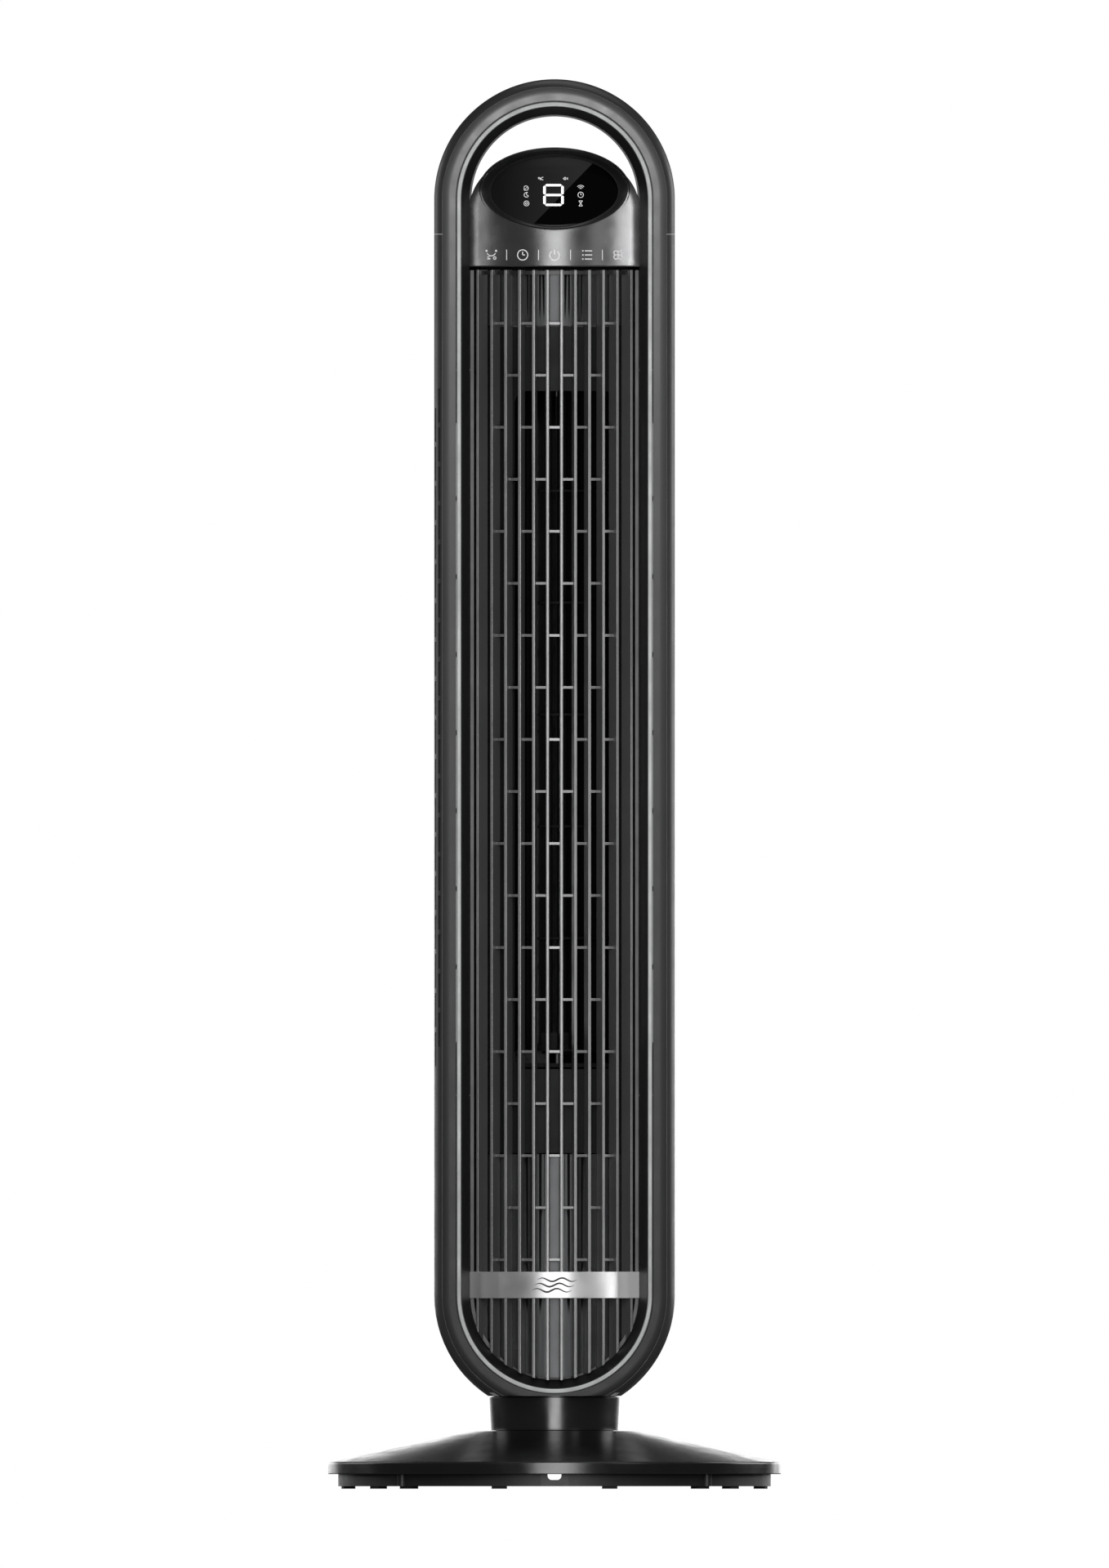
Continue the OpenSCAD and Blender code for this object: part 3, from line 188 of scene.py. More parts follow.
# one recipe for every moulded, painted, metal or rubber finish: patchy colour, uneven gloss, a fine grain
# and paler edges where a piece is marked as an edge or its corners are found by the shader
def makeFinish(name, look):
    mat = bpy.data.materials.new(name)
    mat.use_nodes = True
    nodes, links = mat.node_tree.nodes, mat.node_tree.links
    shader = nodes["Principled BSDF"]
    coords = nodes.new("ShaderNodeTexCoord")
    colour = np.array(look["colour"])

    patches = nodes.new("ShaderNodeTexNoise")
    patches.inputs["Scale"].default_value = look.get("patch", 22)
    patches.inputs["Detail"].default_value = 6
    links.new(coords.outputs["Object"], patches.inputs["Vector"])
    ramp = nodes.new("ShaderNodeValToRGB")
    spread = look.get("colourSpread", 0.07)
    ramp.color_ramp.elements[0].position = 0.3
    ramp.color_ramp.elements[1].position = 0.7
    ramp.color_ramp.elements[0].color = (*(colour * (1 - spread)), 1)
    ramp.color_ramp.elements[1].color = (*np.minimum(colour * (1 + spread), 1), 1)
    links.new(patches.outputs["Fac"], ramp.inputs["Fac"])
    tint = ramp.outputs["Color"]

    if look.get("paintedReflectionLine"):
        # a painted reflection on the smoked window: the part above a slanting line is painted a shade lighter,
        # fading towards the left
        split = nodes.new("ShaderNodeSeparateXYZ")
        links.new(coords.outputs["Object"], split.inputs["Vector"])
        lean = nodes.new("ShaderNodeMath")
        lean.operation = "MULTIPLY_ADD"
        lean.inputs[1].default_value = -look["paintedReflectionLine"]["slope"]
        links.new(split.outputs["X"], lean.inputs[0])
        links.new(split.outputs["Z"], lean.inputs[2])
        edgeOfPaintedReflection = nodes.new("ShaderNodeMapRange")
        edgeOfPaintedReflection.inputs["From Min"].default_value = look["paintedReflectionLine"]["height"] - 0.15 * mm
        edgeOfPaintedReflection.inputs["From Max"].default_value = look["paintedReflectionLine"]["height"] + 0.15 * mm
        links.new(lean.outputs["Value"], edgeOfPaintedReflection.inputs["Value"])
        fade = nodes.new("ShaderNodeMapRange")
        fade.inputs["From Min"].default_value = look["paintedReflectionLine"]["from"]
        fade.inputs["From Max"].default_value = look["paintedReflectionLine"]["to"]
        fade.inputs["To Min"].default_value = 0.25
        links.new(split.outputs["X"], fade.inputs["Value"])
        both = nodes.new("ShaderNodeMath")
        both.operation = "MULTIPLY"
        links.new(edgeOfPaintedReflection.outputs["Result"], both.inputs[0])
        links.new(fade.outputs["Result"], both.inputs[1])
        paintedReflectionMix = nodes.new("ShaderNodeMix")
        paintedReflectionMix.data_type = "RGBA"
        paintedReflectionMix.inputs["B"].default_value = (*look["paintedReflectionLine"]["colour"], 1)
        links.new(both.outputs["Value"], paintedReflectionMix.inputs["Factor"])
        links.new(tint, paintedReflectionMix.inputs["A"])
        tint = paintedReflectionMix.outputs["Result"]

    wear = look.get("wear", 0)
    if wear:
        marked = nodes.new("ShaderNodeAttribute")
        marked.attribute_name = "edge"
        edge = marked.outputs["Fac"]
        if look.get("findEdges"):
            # where the rounded normal leaves the true one there is a corner
            soft = nodes.new("ShaderNodeBevel")
            soft.samples = 4
            soft.inputs["Radius"].default_value = 0.5 * mm
            true = nodes.new("ShaderNodeNewGeometry")
            dot = nodes.new("ShaderNodeVectorMath")
            dot.operation = "DOT_PRODUCT"
            links.new(soft.outputs["Normal"], dot.inputs[0])
            links.new(true.outputs["Normal"], dot.inputs[1])
            found = nodes.new("ShaderNodeMapRange")
            found.inputs["From Min"].default_value = 0.98
            found.inputs["From Max"].default_value = 0.75
            links.new(dot.outputs["Value"], found.inputs["Value"])
            edge = found.outputs["Result"]
        scuff = nodes.new("ShaderNodeMath")
        scuff.operation = "MULTIPLY"
        links.new(edge, scuff.inputs[0])
        links.new(patches.outputs["Fac"], scuff.inputs[1])
        worn = nodes.new("ShaderNodeMix")
        worn.data_type = "RGBA"
        worn.inputs["B"].default_value = (*np.minimum(colour * (1 + 3 * wear) + 0.02 * wear, 1), 1)
        links.new(scuff.outputs["Value"], worn.inputs["Factor"])
        links.new(tint, worn.inputs["A"])
        tint = worn.outputs["Result"]
    links.new(tint, shader.inputs["Base Color"])

    gloss = nodes.new("ShaderNodeTexNoise")
    gloss.inputs["Scale"].default_value = look.get("glossPatch", 60)
    gloss.inputs["Detail"].default_value = 6
    links.new(coords.outputs["Object"], gloss.inputs["Vector"])
    level = nodes.new("ShaderNodeMapRange")
    level.inputs["From Min"].default_value = 0.3
    level.inputs["From Max"].default_value = 0.7
    level.inputs["To Min"].default_value = look["rough"] - look.get("roughSpread", 0.04)
    level.inputs["To Max"].default_value = look["rough"] + look.get("roughSpread", 0.04)
    links.new(gloss.outputs["Fac"], level.inputs["Value"])
    links.new(level.outputs["Result"], shader.inputs["Roughness"])

    grain = nodes.new("ShaderNodeTexNoise")
    grain.inputs["Scale"].default_value = look.get("grain", 1400)
    grain.inputs["Detail"].default_value = 3
    if "brushed" in look:
        stretch = nodes.new("ShaderNodeMapping")
        stretch.inputs["Scale"].default_value = look["brushed"]
        links.new(coords.outputs["Object"], stretch.inputs["Vector"])
        links.new(stretch.outputs["Vector"], grain.inputs["Vector"])
    else:
        links.new(coords.outputs["Object"], grain.inputs["Vector"])
    bump = nodes.new("ShaderNodeBump")
    bump.inputs["Strength"].default_value = look.get("grainStrength", 0.2)
    bump.inputs["Distance"].default_value = look.get("grainDepth", 0.04) * mm
    links.new(grain.outputs["Fac"], bump.inputs["Height"])
    links.new(bump.outputs["Normal"], shader.inputs["Normal"])

    shader.inputs["Metallic"].default_value = look.get("metal", 0)
    shader.inputs["Specular IOR Level"].default_value = look.get("specular", 0.5)
    shader.inputs["Coat Weight"].default_value = look.get("coat", 0)
    shader.inputs["Coat Roughness"].default_value = look.get("coatRough", 0.1)
    if look.get("glow"):
        shader.inputs["Emission Color"].default_value = (*look["colour"], 1)
        shader.inputs["Emission Strength"].default_value = look["glow"]
    return mat


looks = {
    "framePaint": dict(colour=(0.031, 0.0313, 0.0313), rough=0.40, wear=0.4, grain=1800, colourSpread=0.04,
                       specular=0.2),
    "shellPlastic": dict(colour=(0.046, 0.046, 0.048), rough=0.40, wear=0.3, findEdges=True, grain=1500,
                         grainStrength=0.3, specular=0.6),
    "ringSilver": dict(colour=(0.27, 0.275, 0.275), rough=0.42, metal=0.6, wear=0.2, grain=2600,
                       grainStrength=0.05),
    "linerPlastic": dict(colour=(0.014, 0.014, 0.015), rough=0.36, wear=0.2),
    "grillePaint": dict(colour=(0.21, 0.211, 0.213), rough=0.36, metal=0.6, wear=0.3, grain=2200,
                        grainStrength=0.06),
    "headPaint": dict(colour=(0.125, 0.1255, 0.127), rough=0.25, metal=0.85, wear=0.4, grain=2200,
                      grainStrength=0.08),
    "badgeSilver": dict(colour=(0.50, 0.50, 0.505), rough=0.34, metal=0.85, wear=0.2, brushed=(30, 30, 2600),
                        grain=1.0, grainStrength=0.12),
    "bafflePlastic": dict(colour=(0.042, 0.043, 0.044), rough=0.3, metal=0.9),
    # dark plastic painted darker still: painted shade for the deep recess behind the fins
    "outletPlasticPaintedShade": dict(colour=(0.006, 0.0065, 0.0065), rough=0.5, specular=0.15),
    "insidePlastic": dict(colour=(0.005, 0.005, 0.0055), rough=0.6, grain=900, grainStrength=0.3, specular=0.1),
    "bezelPlastic": dict(colour=(0.016, 0.0165, 0.0165), rough=0.42, wear=0.5),
    "lensGloss": dict(colour=(0.0015, 0.0012, 0.0012), rough=0.10, roughSpread=0.03, specular=0.25,
                      grainStrength=0.02,
                      # painted reflection: the lens is painted lighter above this slanting line
                      paintedReflectionLine=dict(slope=1.027, height=headLow[2] + 48.6 * mm, colour=(0.045, 0.0455, 0.0455),
                                     **{"from": -42 * mm, "to": 20 * mm})),
    "neckSatin": dict(colour=(0.010, 0.010, 0.0105), rough=0.22, wear=0.3, specular=1.0, grain=1500),
    "basePlastic": dict(colour=(0.008, 0.008, 0.0085), rough=0.23, wear=0.6, specular=0.8, grain=1500,
                        grainStrength=0.2),
    "trayPlastic": dict(colour=(0.020, 0.020, 0.021), rough=0.45, wear=0.3, findEdges=True),
    "softRubber": dict(colour=(0.012, 0.012, 0.012), rough=0.75, grain=900, grainStrength=0.5),
    "screwSteel": dict(colour=(0.55, 0.55, 0.56), rough=0.32, metal=1.0, grain=3000),
    "weightSteel": dict(colour=(0.12, 0.12, 0.125), rough=0.5, metal=0.9),
    "motorSteel": dict(colour=(0.45, 0.45, 0.46), rough=0.38, metal=0.9),
    # steel painted dark: painted shade for the shafts inside the body, seen through the outlet
    "shaftSteelPaintedShade": dict(colour=(0.10, 0.10, 0.105), rough=0.35, metal=1.0, brushed=(60, 60, 3000), grain=1.0),
    "bearingBronze": dict(colour=(0.5, 0.3, 0.12), rough=0.45, metal=1.0),
    "gearAcetal": dict(colour=(0.70, 0.70, 0.67), rough=0.4, colourSpread=0.03),
    "slideAcetal": dict(colour=(0.02, 0.02, 0.02), rough=0.4, colourSpread=0.03),
    "boardGreen": dict(colour=(0.015, 0.10, 0.04), rough=0.35, coat=0.4),
    "impellerPlastic": dict(colour=(0.005, 0.005, 0.0055), rough=0.5, grain=700, grainStrength=0.4,
                            specular=0.08),
    # white print with a faint painted glow
    "whitePrintPaintedGlow": dict(colour=(0.85, 0.85, 0.85), rough=0.5, colourSpread=0.02, glow=0.25),
    "printDark": dict(colour=(0.045, 0.045, 0.047), rough=0.5, colourSpread=0.05),
    "digitGlow": dict(colour=(0.92, 0.92, 0.92), rough=0.5, colourSpread=0.01, glow=0.85),
    "symbolGlow": dict(colour=(0.8, 0.8, 0.8), rough=0.5, colourSpread=0.02, glow=0.42),
}
finishes = {name: makeFinish(name, look) for name, look in looks.items()}

cadFinishes = {
    "framePaint": ["front_frame"],
    "shellPlastic": ["rear_shell", "handle_shell", "rear_grille"],
    "ringSilver": ["trim_ring"],
    "linerPlastic": ["inner_liner"],
    "grillePaint": ["front_grille"],
    "headPaint": ["head_cover"],
    "badgeSilver": ["badge_band"],
    "bafflePlastic": ["upper_baffle", "lower_baffle"],
    "outletPlasticPaintedShade": ["outlet_frame"],
    "insidePlastic": ["scroll_casing", "vortex_tongue", "casing_top_plate", "casing_bottom_plate",
                      "motor_bracket", "bearing_cap", "board_posts", "column_floor", "cord_clamp"],
    "bezelPlastic": ["display_bezel"],
    "lensGloss": ["display_lens"],
    "neckSatin": ["neck"],
    "basePlastic": ["base_cover"],
    "trayPlastic": ["base_tray"],
    "softRubber": ["rubber_feet", "motor_grommets", "bearing_seat", "impeller_hub"],
    "screwSteel": ["base_screws", "neck_screws", "motor_screws", "cover_screws", "swing_motor_screws",
                   "pivot_screws", "grille_screws"],
    "weightSteel": ["base_weight"],
    "motorSteel": ["motor_can", "swing_motor"],
    "shaftSteelPaintedShade": ["motor_shaft", "stub_shaft"],
    "bearingBronze": ["top_bearing"],
    "gearAcetal": ["swing_gear", "swing_pinion", "pivot_tube"],
    "slideAcetal": ["thrust_ring"],
    "boardGreen": ["display_board", "touch_board", "control_board"],
    "impellerPlastic": ["impeller"],
}
for finishName, members in cadFinishes.items():
    for node in members:
        mesh = frame["nodes"][node].data
        mesh.materials.clear()
        mesh.materials.append(finishes[finishName])
print("finishes made:", len(finishes))


# quads between neighbouring points of a grid, wrapping round where a direction is closed
def gridQuads(rows, columns, closeRows, closeColumns):
    r = np.arange(rows if closeRows else rows - 1)[:, None]
    c = np.arange(columns if closeColumns else columns - 1)[None, :]
    nextR, nextC = (r + 1) % rows, (c + 1) % columns
    return np.stack([r * columns + c, r * columns + nextC, nextR * columns + nextC, nextR * columns + c],
                    -1).reshape(-1, 4)


# each part is a grid of points (rows along the path, columns round the profile); it is turned the right way
# round by the sign of its volume, seen from a point inside it
def addPiece(name, parts, finishName, body, replaced=(), wall=0):
    verts, faces, edges, flats = [], [], [], []
    start = 0
    for part in parts:
        grid = np.asarray(part["grid"], float)
        rows, columns = grid.shape[:2]
        closeRows, closeColumns = part.get("closeRows", False), part.get("closeColumns", True)
        quads = gridQuads(rows, columns, closeRows, closeColumns)
        caps = []
        if part.get("caps", not closeRows):
            caps = [np.arange(columns)[::-1], np.arange((rows - 1) * columns, rows * columns)]
        points = grid.reshape(-1, 3)
        seen = points - np.asarray(part.get("inside", points.mean(0)))
        a, b, c, d = (seen[quads[:, i]] for i in range(4))
        volume = np.einsum("ij,ij->", a, np.cross(b, c)) + np.einsum("ij,ij->", a, np.cross(c, d))
        for cap in caps:
            ring = seen[cap]
            fan = np.broadcast_to(ring[:1], ring[2:].shape)
            volume += np.einsum("ij,ij->", fan, np.cross(ring[1:-1], ring[2:]))
        step = 1 if volume > 0 else -1
        faces += (quads[:, ::step] + start).tolist() + [(cap[::step] + start).tolist() for cap in caps]
        flats += [True] * len(quads) + [False] * len(caps)
        verts.append(points)
        edges.append(np.broadcast_to(part.get("edge", 0.0), (rows, columns)).reshape(-1))
        start += len(points)
    mesh = bpy.data.meshes.new(name)
    mesh.from_pydata(np.concatenate(verts).tolist(), [], faces)
    mesh.update()
    mesh.polygons.foreach_set("use_smooth", np.array(flats))
    mesh.set_sharp_from_angle(angle=math.radians(38))
    mark = mesh.attributes.new("edge", "FLOAT", "POINT")
    mark.data.foreach_set("value", np.concatenate(edges).astype(np.float32))
    mesh.materials.append(finishes[finishName])
    piece = bpy.data.objects.new(name, mesh)
    bpy.context.scene.collection.objects.link(piece)
    if wall:
        thick = piece.modifiers.new("wall", "SOLIDIFY")
        thick.thickness = wall
        thick.offset = -1
    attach(piece, body)
    if replaced:
        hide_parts(*replaced)
    return piece


# a closed outline with each corner swapped for a parabola-shaped bend and a support point on either side;
# gives the points and how far each is into a bend
def softOutline(points, radii, steps=4):
    points = np.asarray(points, float)
    radii = np.broadcast_to(np.asarray(radii, float), len(points))[:, None, None]
    back = np.roll(points, 1, 0) - points
    on = np.roll(points, -1, 0) - points
    back /= np.linalg.norm(back, axis=1, keepdims=True)
    on /= np.linalg.norm(on, axis=1, keepdims=True)
    u = np.linspace(0, 1, steps + 1)[None, :, None]
    bend = points[:, None] + radii * (back[:, None] * (1 - u) ** 2 + on[:, None] * u ** 2)
    first = points[:, None] + radii * 1.4 * back[:, None]
    last = points[:, None] + radii * 1.4 * on[:, None]
    mark = np.concatenate([[0], np.sin(np.linspace(0, math.pi, steps + 1)), [0]])
    kept = (radii[:, :, 0] > 0) | (np.arange(steps + 3) == 1)      # a corner with no radius stays one point
    return np.concatenate([first, bend, last], 1)[kept], np.tile(mark, (len(points), 1))[kept]


# a profile of radius and depth carried round the long loop: x = r cos t, z = centre + r sin t, where the centre
# is the upper one for the first half turn and the lower one for the second
def roundLoop(profile, steps=72):
    half = np.linspace(0, math.pi, steps)
    turn = np.concatenate([half, half + math.pi])[:, None]
    centre = np.where(np.arange(2 * steps) < steps, topCentre, lowCentre)[:, None]
    r, y = profile[None, :, 0], profile[None, :, 1]
    depth = np.broadcast_to(y, (2 * steps, len(profile)))
    return np.stack([r * np.cos(turn), depth, centre + r * np.sin(turn)], -1)


# a profile of radius and height turned round the upright axis
def turned(profile, steps=192):
    turn = np.linspace(0, 2 * math.pi, steps, endpoint=False)[:, None]
    r, z = profile[None, :, 0], profile[None, :, 1]
    return np.stack([r * np.cos(turn), r * np.sin(turn), np.broadcast_to(z, (steps, len(profile)))], -1)


# front frame: a flat face that rolls over at its outer edge
frameShape = {"gap": 0.15 * mm, "plate": 2.5 * mm, "roll": 12 * mm, "rollAngle": 29, "flange": 9 * mm,
              "flangeWall": 2.5 * mm, "innerBend": 0.7 * mm}
rollStart = bodyRadius - frameShape["roll"]
roll = np.radians(np.linspace(2, frameShape["rollAngle"], 9))
rollPoints = np.stack([rollStart + frameShape["roll"] * np.sin(roll),
                       frontY + frameShape["roll"] * (1 - np.cos(roll))], 1)
inner = ringRadius + frameShape["gap"]
plateBack, flangeBack = frontY + frameShape["plate"], frontY + frameShape["flange"]
flangeOut = inner + frameShape["flangeWall"]
outline = np.concatenate([
    [[inner, frontY], [inner + 3 * mm, frontY], [rollStart, frontY]], rollPoints,
    [[rollPoints[-1, 0] - 0.5 * mm, plateBack], [flangeOut, plateBack],
     [flangeOut, flangeBack], [inner, flangeBack]],
])
bends = np.concatenate([[frameShape["innerBend"]], np.zeros(len(rollPoints) + 1),
                        [0.2 * mm], np.full(4, 0.1 * mm)])
profile, mark = softOutline(outline, bends, 3)
mark = np.where(np.arange(len(mark)) < 6, mark, 0)
grid = roundLoop(profile)
grid[..., 2] = np.maximum(grid[..., 2], frameLow[2])
addPiece("frontFrame", [{"grid": grid, "closeRows": True, "edge": mark[None, :]}], "framePaint", "column",
         ["front_frame"])

# bright ring: a flat bead with rounded shoulders
ringShape = {"width": 3.8 * mm, "shoulder": 0.8 * mm}
outline = [[ringRadius - ringShape["width"], ringLow[1]], [ringRadius, ringLow[1]],
           [ringRadius, ringHigh[1]], [ringRadius - ringShape["width"], ringHigh[1]]]
profile, mark = softOutline(outline, [ringShape["shoulder"], ringShape["shoulder"], 0.2 * mm, 0.2 * mm])
addPiece("trimRing", [{"grid": roundLoop(profile), "closeRows": True, "edge": mark[None, :]}], "ringSilver",
         "column", ["trim_ring"])

# tapered liner inside the ring
linerShape = {"taper": 12 * mm, "wall": 2.5 * mm, "bend": 0.6 * mm}
mouth = ringRadius - ringShape["width"] - 0.2 * mm
throat = fieldRadius + 0.15 * mm
y0 = linerLow[1]
outline = [[ringRadius, y0], [mouth, y0], [throat, y0 + linerShape["taper"]], [throat, linerHigh[1]],
           [throat + linerShape["wall"], linerHigh[1]], [throat + linerShape["wall"], y0 + linerShape["taper"]],
           [ringRadius, y0 + linerShape["wall"]]]
profile, mark = softOutline(outline, linerShape["bend"])
addPiece("innerLiner", [{"grid": roundLoop(profile), "closeRows": True, "edge": mark[None, :]}], "linerPlastic",
         "column", ["inner_liner"])
print("frame, ring and liner built")

# base cover: flat middle, shallow cone, upright rim
baseShape = {"bore": 14.15 * mm, "plateau": 61.1 * mm, "rimTop": 20.2 * mm, "wall": 3 * mm,
             "plateauBend": 1.6 * mm, "rimBend": 1.3 * mm}
top, rim, low = baseHigh[2], baseHigh[0], baseLow[2]
outline = [[baseShape["bore"], top], [baseShape["plateau"], top], [rim, baseShape["rimTop"]], [rim, low],
           [rim - baseShape["wall"], low], [rim - baseShape["wall"], baseShape["rimTop"] - baseShape["wall"]],
           [baseShape["plateau"] - 1 * mm, top - baseShape["wall"]],
           [baseShape["bore"], top - baseShape["wall"]]]
bends = np.array([0.3 * mm, baseShape["plateauBend"], baseShape["rimBend"], 0.5 * mm,
                  0.4 * mm, 1 * mm, 1 * mm, 0.3 * mm])
profile, mark = softOutline(outline, bends)
addPiece("baseCover", [{"grid": turned(profile, 256), "closeRows": True, "edge": mark[None, :]}], "basePlastic",
         "base", ["base_cover"])

# neck: a slightly flared drum with a shadow step under the body
neckShape = {"foot": 48.0 * mm, "head": 49.7 * mm, "bore": 36 * mm, "step": 2 * mm}
bodyFoot = cadBox("rear_shell")[0][2]
shoulder = bodyFoot - 0.8 * mm
outline = [[neckShape["bore"], neckLow[2]], [neckShape["foot"], neckLow[2]], [neckShape["head"], shoulder],
           [neckShape["head"] - neckShape["step"], shoulder], [neckShape["head"] - neckShape["step"], bodyFoot],
           [neckShape["bore"], bodyFoot]]
profile, mark = softOutline(outline, [0.2 * mm, 0.4 * mm, 0.5 * mm, 0.2 * mm, 0.05 * mm, 0.05 * mm])
addPiece("neckDrum", [{"grid": turned(profile, 160), "closeRows": True, "edge": mark[None, :]}], "neckSatin",
         "column", ["neck"])
print("base and neck built")


# head cover: its front follows the upright arc, or the tilted display plane where that is further back,
# and falls away in a quarter circle at the sides, over the dome and at the foot
headShape = {"tilt": 30, "displayFoot": 28.7 * mm, "domeWide": 64.05 * mm, "domeRise": 45.05 * mm,
             "sideBend": 7.0 * mm, "footBend": 1.3 * mm, "blend": 1.2 * mm, "wall": 1.8 * mm,
             "ovalWide": 55.3 * mm, "ovalTall": 29.9 * mm, "lensWide": 47.9 * mm, "lensTall": 26.25 * mm,
             "lensRise": 28.5 * mm, "lensProud": 0.3 * mm}
displayFoot = headLow[2] + headShape["displayFoot"]
domeMiddle = headHigh[2] - headShape["domeRise"]
tilt = math.radians(headShape["tilt"])
slope = math.tan(tilt)
outOfDisplay = np.array([0, -math.cos(tilt), math.sin(tilt)])
ovalMiddle = displayFoot + headShape["ovalTall"]
lensMiddle = displayFoot + headShape["lensRise"]


def displayY(z):
    return headLow[1] + (z - displayFoot) * slope


def quarterFall(distance, bend):
    return bend - np.sqrt(bend ** 2 - np.clip(bend - distance, 0, bend) ** 2)


def headFrontY(x, z):
    arc = arcCentreY - np.sqrt(arcRadius ** 2 - x ** 2)
    plane = displayY(z)
    front = (arc + plane + np.sqrt((arc - plane) ** 2 + headShape["blend"] ** 2)) / 2
    above = np.maximum(z - domeMiddle, 0)
    a, b = headShape["domeWide"], headShape["domeRise"]
    reach = np.sqrt((x / a) ** 2 + (above / b) ** 2)
    steep = np.sqrt((x / a ** 2) ** 2 + (above / b ** 2) ** 2) / np.maximum(reach, 1e-6)
    toSide = np.clip((1 - reach) / np.maximum(steep, 1e-3), 0, 1)
    return (front + quarterFall(toSide, headShape["sideBend"])
            + quarterFall(np.clip(z - headLow[2], 0, 1), headShape["footBend"]))


# rays from the middle of the display oval: each meets the oval, then the head's outline
steps = 288
ray = np.linspace(0, 2 * math.pi, steps, endpoint=False)
for corner in (math.atan2(headLow[2] - ovalMiddle, headShape["domeWide"]),
               math.atan2(headLow[2] - ovalMiddle, -headShape["domeWide"])):
    ray[np.argmin(np.abs(ray - corner % (2 * math.pi)))] = corner % (2 * math.pi)
c, s = np.cos(ray), np.sin(ray)
toOval = 1 / np.sqrt((c / headShape["ovalWide"]) ** 2 + (s / headShape["ovalTall"]) ** 2)
a, b, lift = headShape["domeWide"], headShape["domeRise"], ovalMiddle - domeMiddle
qa, qb, qc = (c / a) ** 2 + (s / b) ** 2, 2 * lift * s / b ** 2, (lift / b) ** 2 - 1
toDome = (-qb + np.sqrt(qb ** 2 - 4 * qa * qc)) / (2 * qa)
toWall = a / np.maximum(np.abs(c), 1e-9)
toFoot = np.where(s < -1e-9, (headLow[2] - ovalMiddle) / np.minimum(s, -1e-9), 9)
toEdge = np.where(ovalMiddle + toDome * s >= domeMiddle, toDome, np.minimum(toWall, toFoot))
# rows lie closer together at the oval's lip and at the outline, where the surface bends
away = np.concatenate([[0, 0, 0.004, 0.012, 0.025], np.linspace(0.04, 0.8, 26),
                       1 - np.linspace(0.19, 0, 16) ** 1.5 * 2.4])
lip = np.zeros(len(away))
lip[:4] = [1.6 * mm, 0.55 * mm, 0.2 * mm, 0.05 * mm]
reach = toOval + away[:, None] * (toEdge - toOval)
x, z = reach * c, ovalMiddle + reach * s
y = headFrontY(x, z) + lip[:, None]
skirt = np.array([0.04, 0.2, 0.5, 1.0])[:, None]
sideY = y[-1] + skirt * (headHigh[1] - y[-1])
sideX, sideZ = np.broadcast_to(x[-1], sideY.shape), np.broadcast_to(z[-1], sideY.shape)
grid = np.concatenate([np.stack([x, y, z], -1), np.stack([sideX, sideY, sideZ], -1)])
edge = np.zeros(grid.shape[:2])
edge[1:4] = 1
withinHead = (0, -20 * mm, displayFoot)
addPiece("headCover", [{"grid": grid, "caps": False, "edge": edge, "inside": withinHead}], "headPaint",
         "column", ["head_cover"], wall=headShape["wall"])

# display bezel: a ring between the display oval and the lens, easing from the head's front to the tilted plane
around = np.linspace(0, 2 * math.pi, 192, endpoint=False)
across = np.array([0, 0, 0.02, 0.06, 0.14, 0.25, 0.4, 0.55, 0.7, 0.82, 0.92, 0.97, 1.0, 1.0])[:, None]
sink = np.array([1.8, 0.5, 0.2, 0.06, 0, 0, 0, 0, 0, 0, 0, 0.05, 0.3, 1.8])[:, None] * mm
bezelShape = {"outerGap": 0.3 * mm, "lensGap": 0.15 * mm, "wall": 1.2 * mm}
ovalX = (headShape["ovalWide"] - bezelShape["outerGap"]) * np.cos(around)
ovalZ = ovalMiddle + (headShape["ovalTall"] - bezelShape["outerGap"]) * np.sin(around)
lensX = (headShape["lensWide"] + bezelShape["lensGap"]) * np.cos(around)
lensZ = lensMiddle + (headShape["lensTall"] + bezelShape["lensGap"]) * np.sin(around)
x, z = ovalX + across * (lensX - ovalX), ovalZ + across * (lensZ - ovalZ)
ease = across ** 2 * (3 - 2 * across)
outerY = headFrontY(ovalX, ovalZ) + across * (displayY(z) - displayY(ovalZ))
y = (1 - ease) * outerY + ease * displayY(z) + sink
edge = np.zeros(x.shape)
edge[1:4] = edge[-3:-1] = 1
addPiece("displayBezel", [{"grid": np.stack([x, y, z], -1), "caps": False, "edge": edge,
                           "inside": withinHead}], "bezelPlastic", "column",
         ["display_bezel"], wall=bezelShape["wall"])

# lens: an oval disc a little proud of the bezel, with a rounded rim
spread = np.array([0.03, 0.3, 0.6, 0.8, 0.9, 0.96, 0.985, 0.996, 1.0, 1.0, 0.9, 0.03])[:, None]
rise = np.array([1, 1, 1, 1, 1, 0.97, 0.85, 0.5, 0, -5, -5, -5])[:, None] * headShape["lensProud"]
x = spread * headShape["lensWide"] * np.cos(around)
z = lensMiddle + spread * headShape["lensTall"] * np.sin(around)
grid = np.stack([x, displayY(z), z], -1) + rise[..., None] * outOfDisplay
addPiece("displayLens", [{"grid": grid}], "lensGloss", "column", ["display_lens"])
print("head, bezel and lens built")


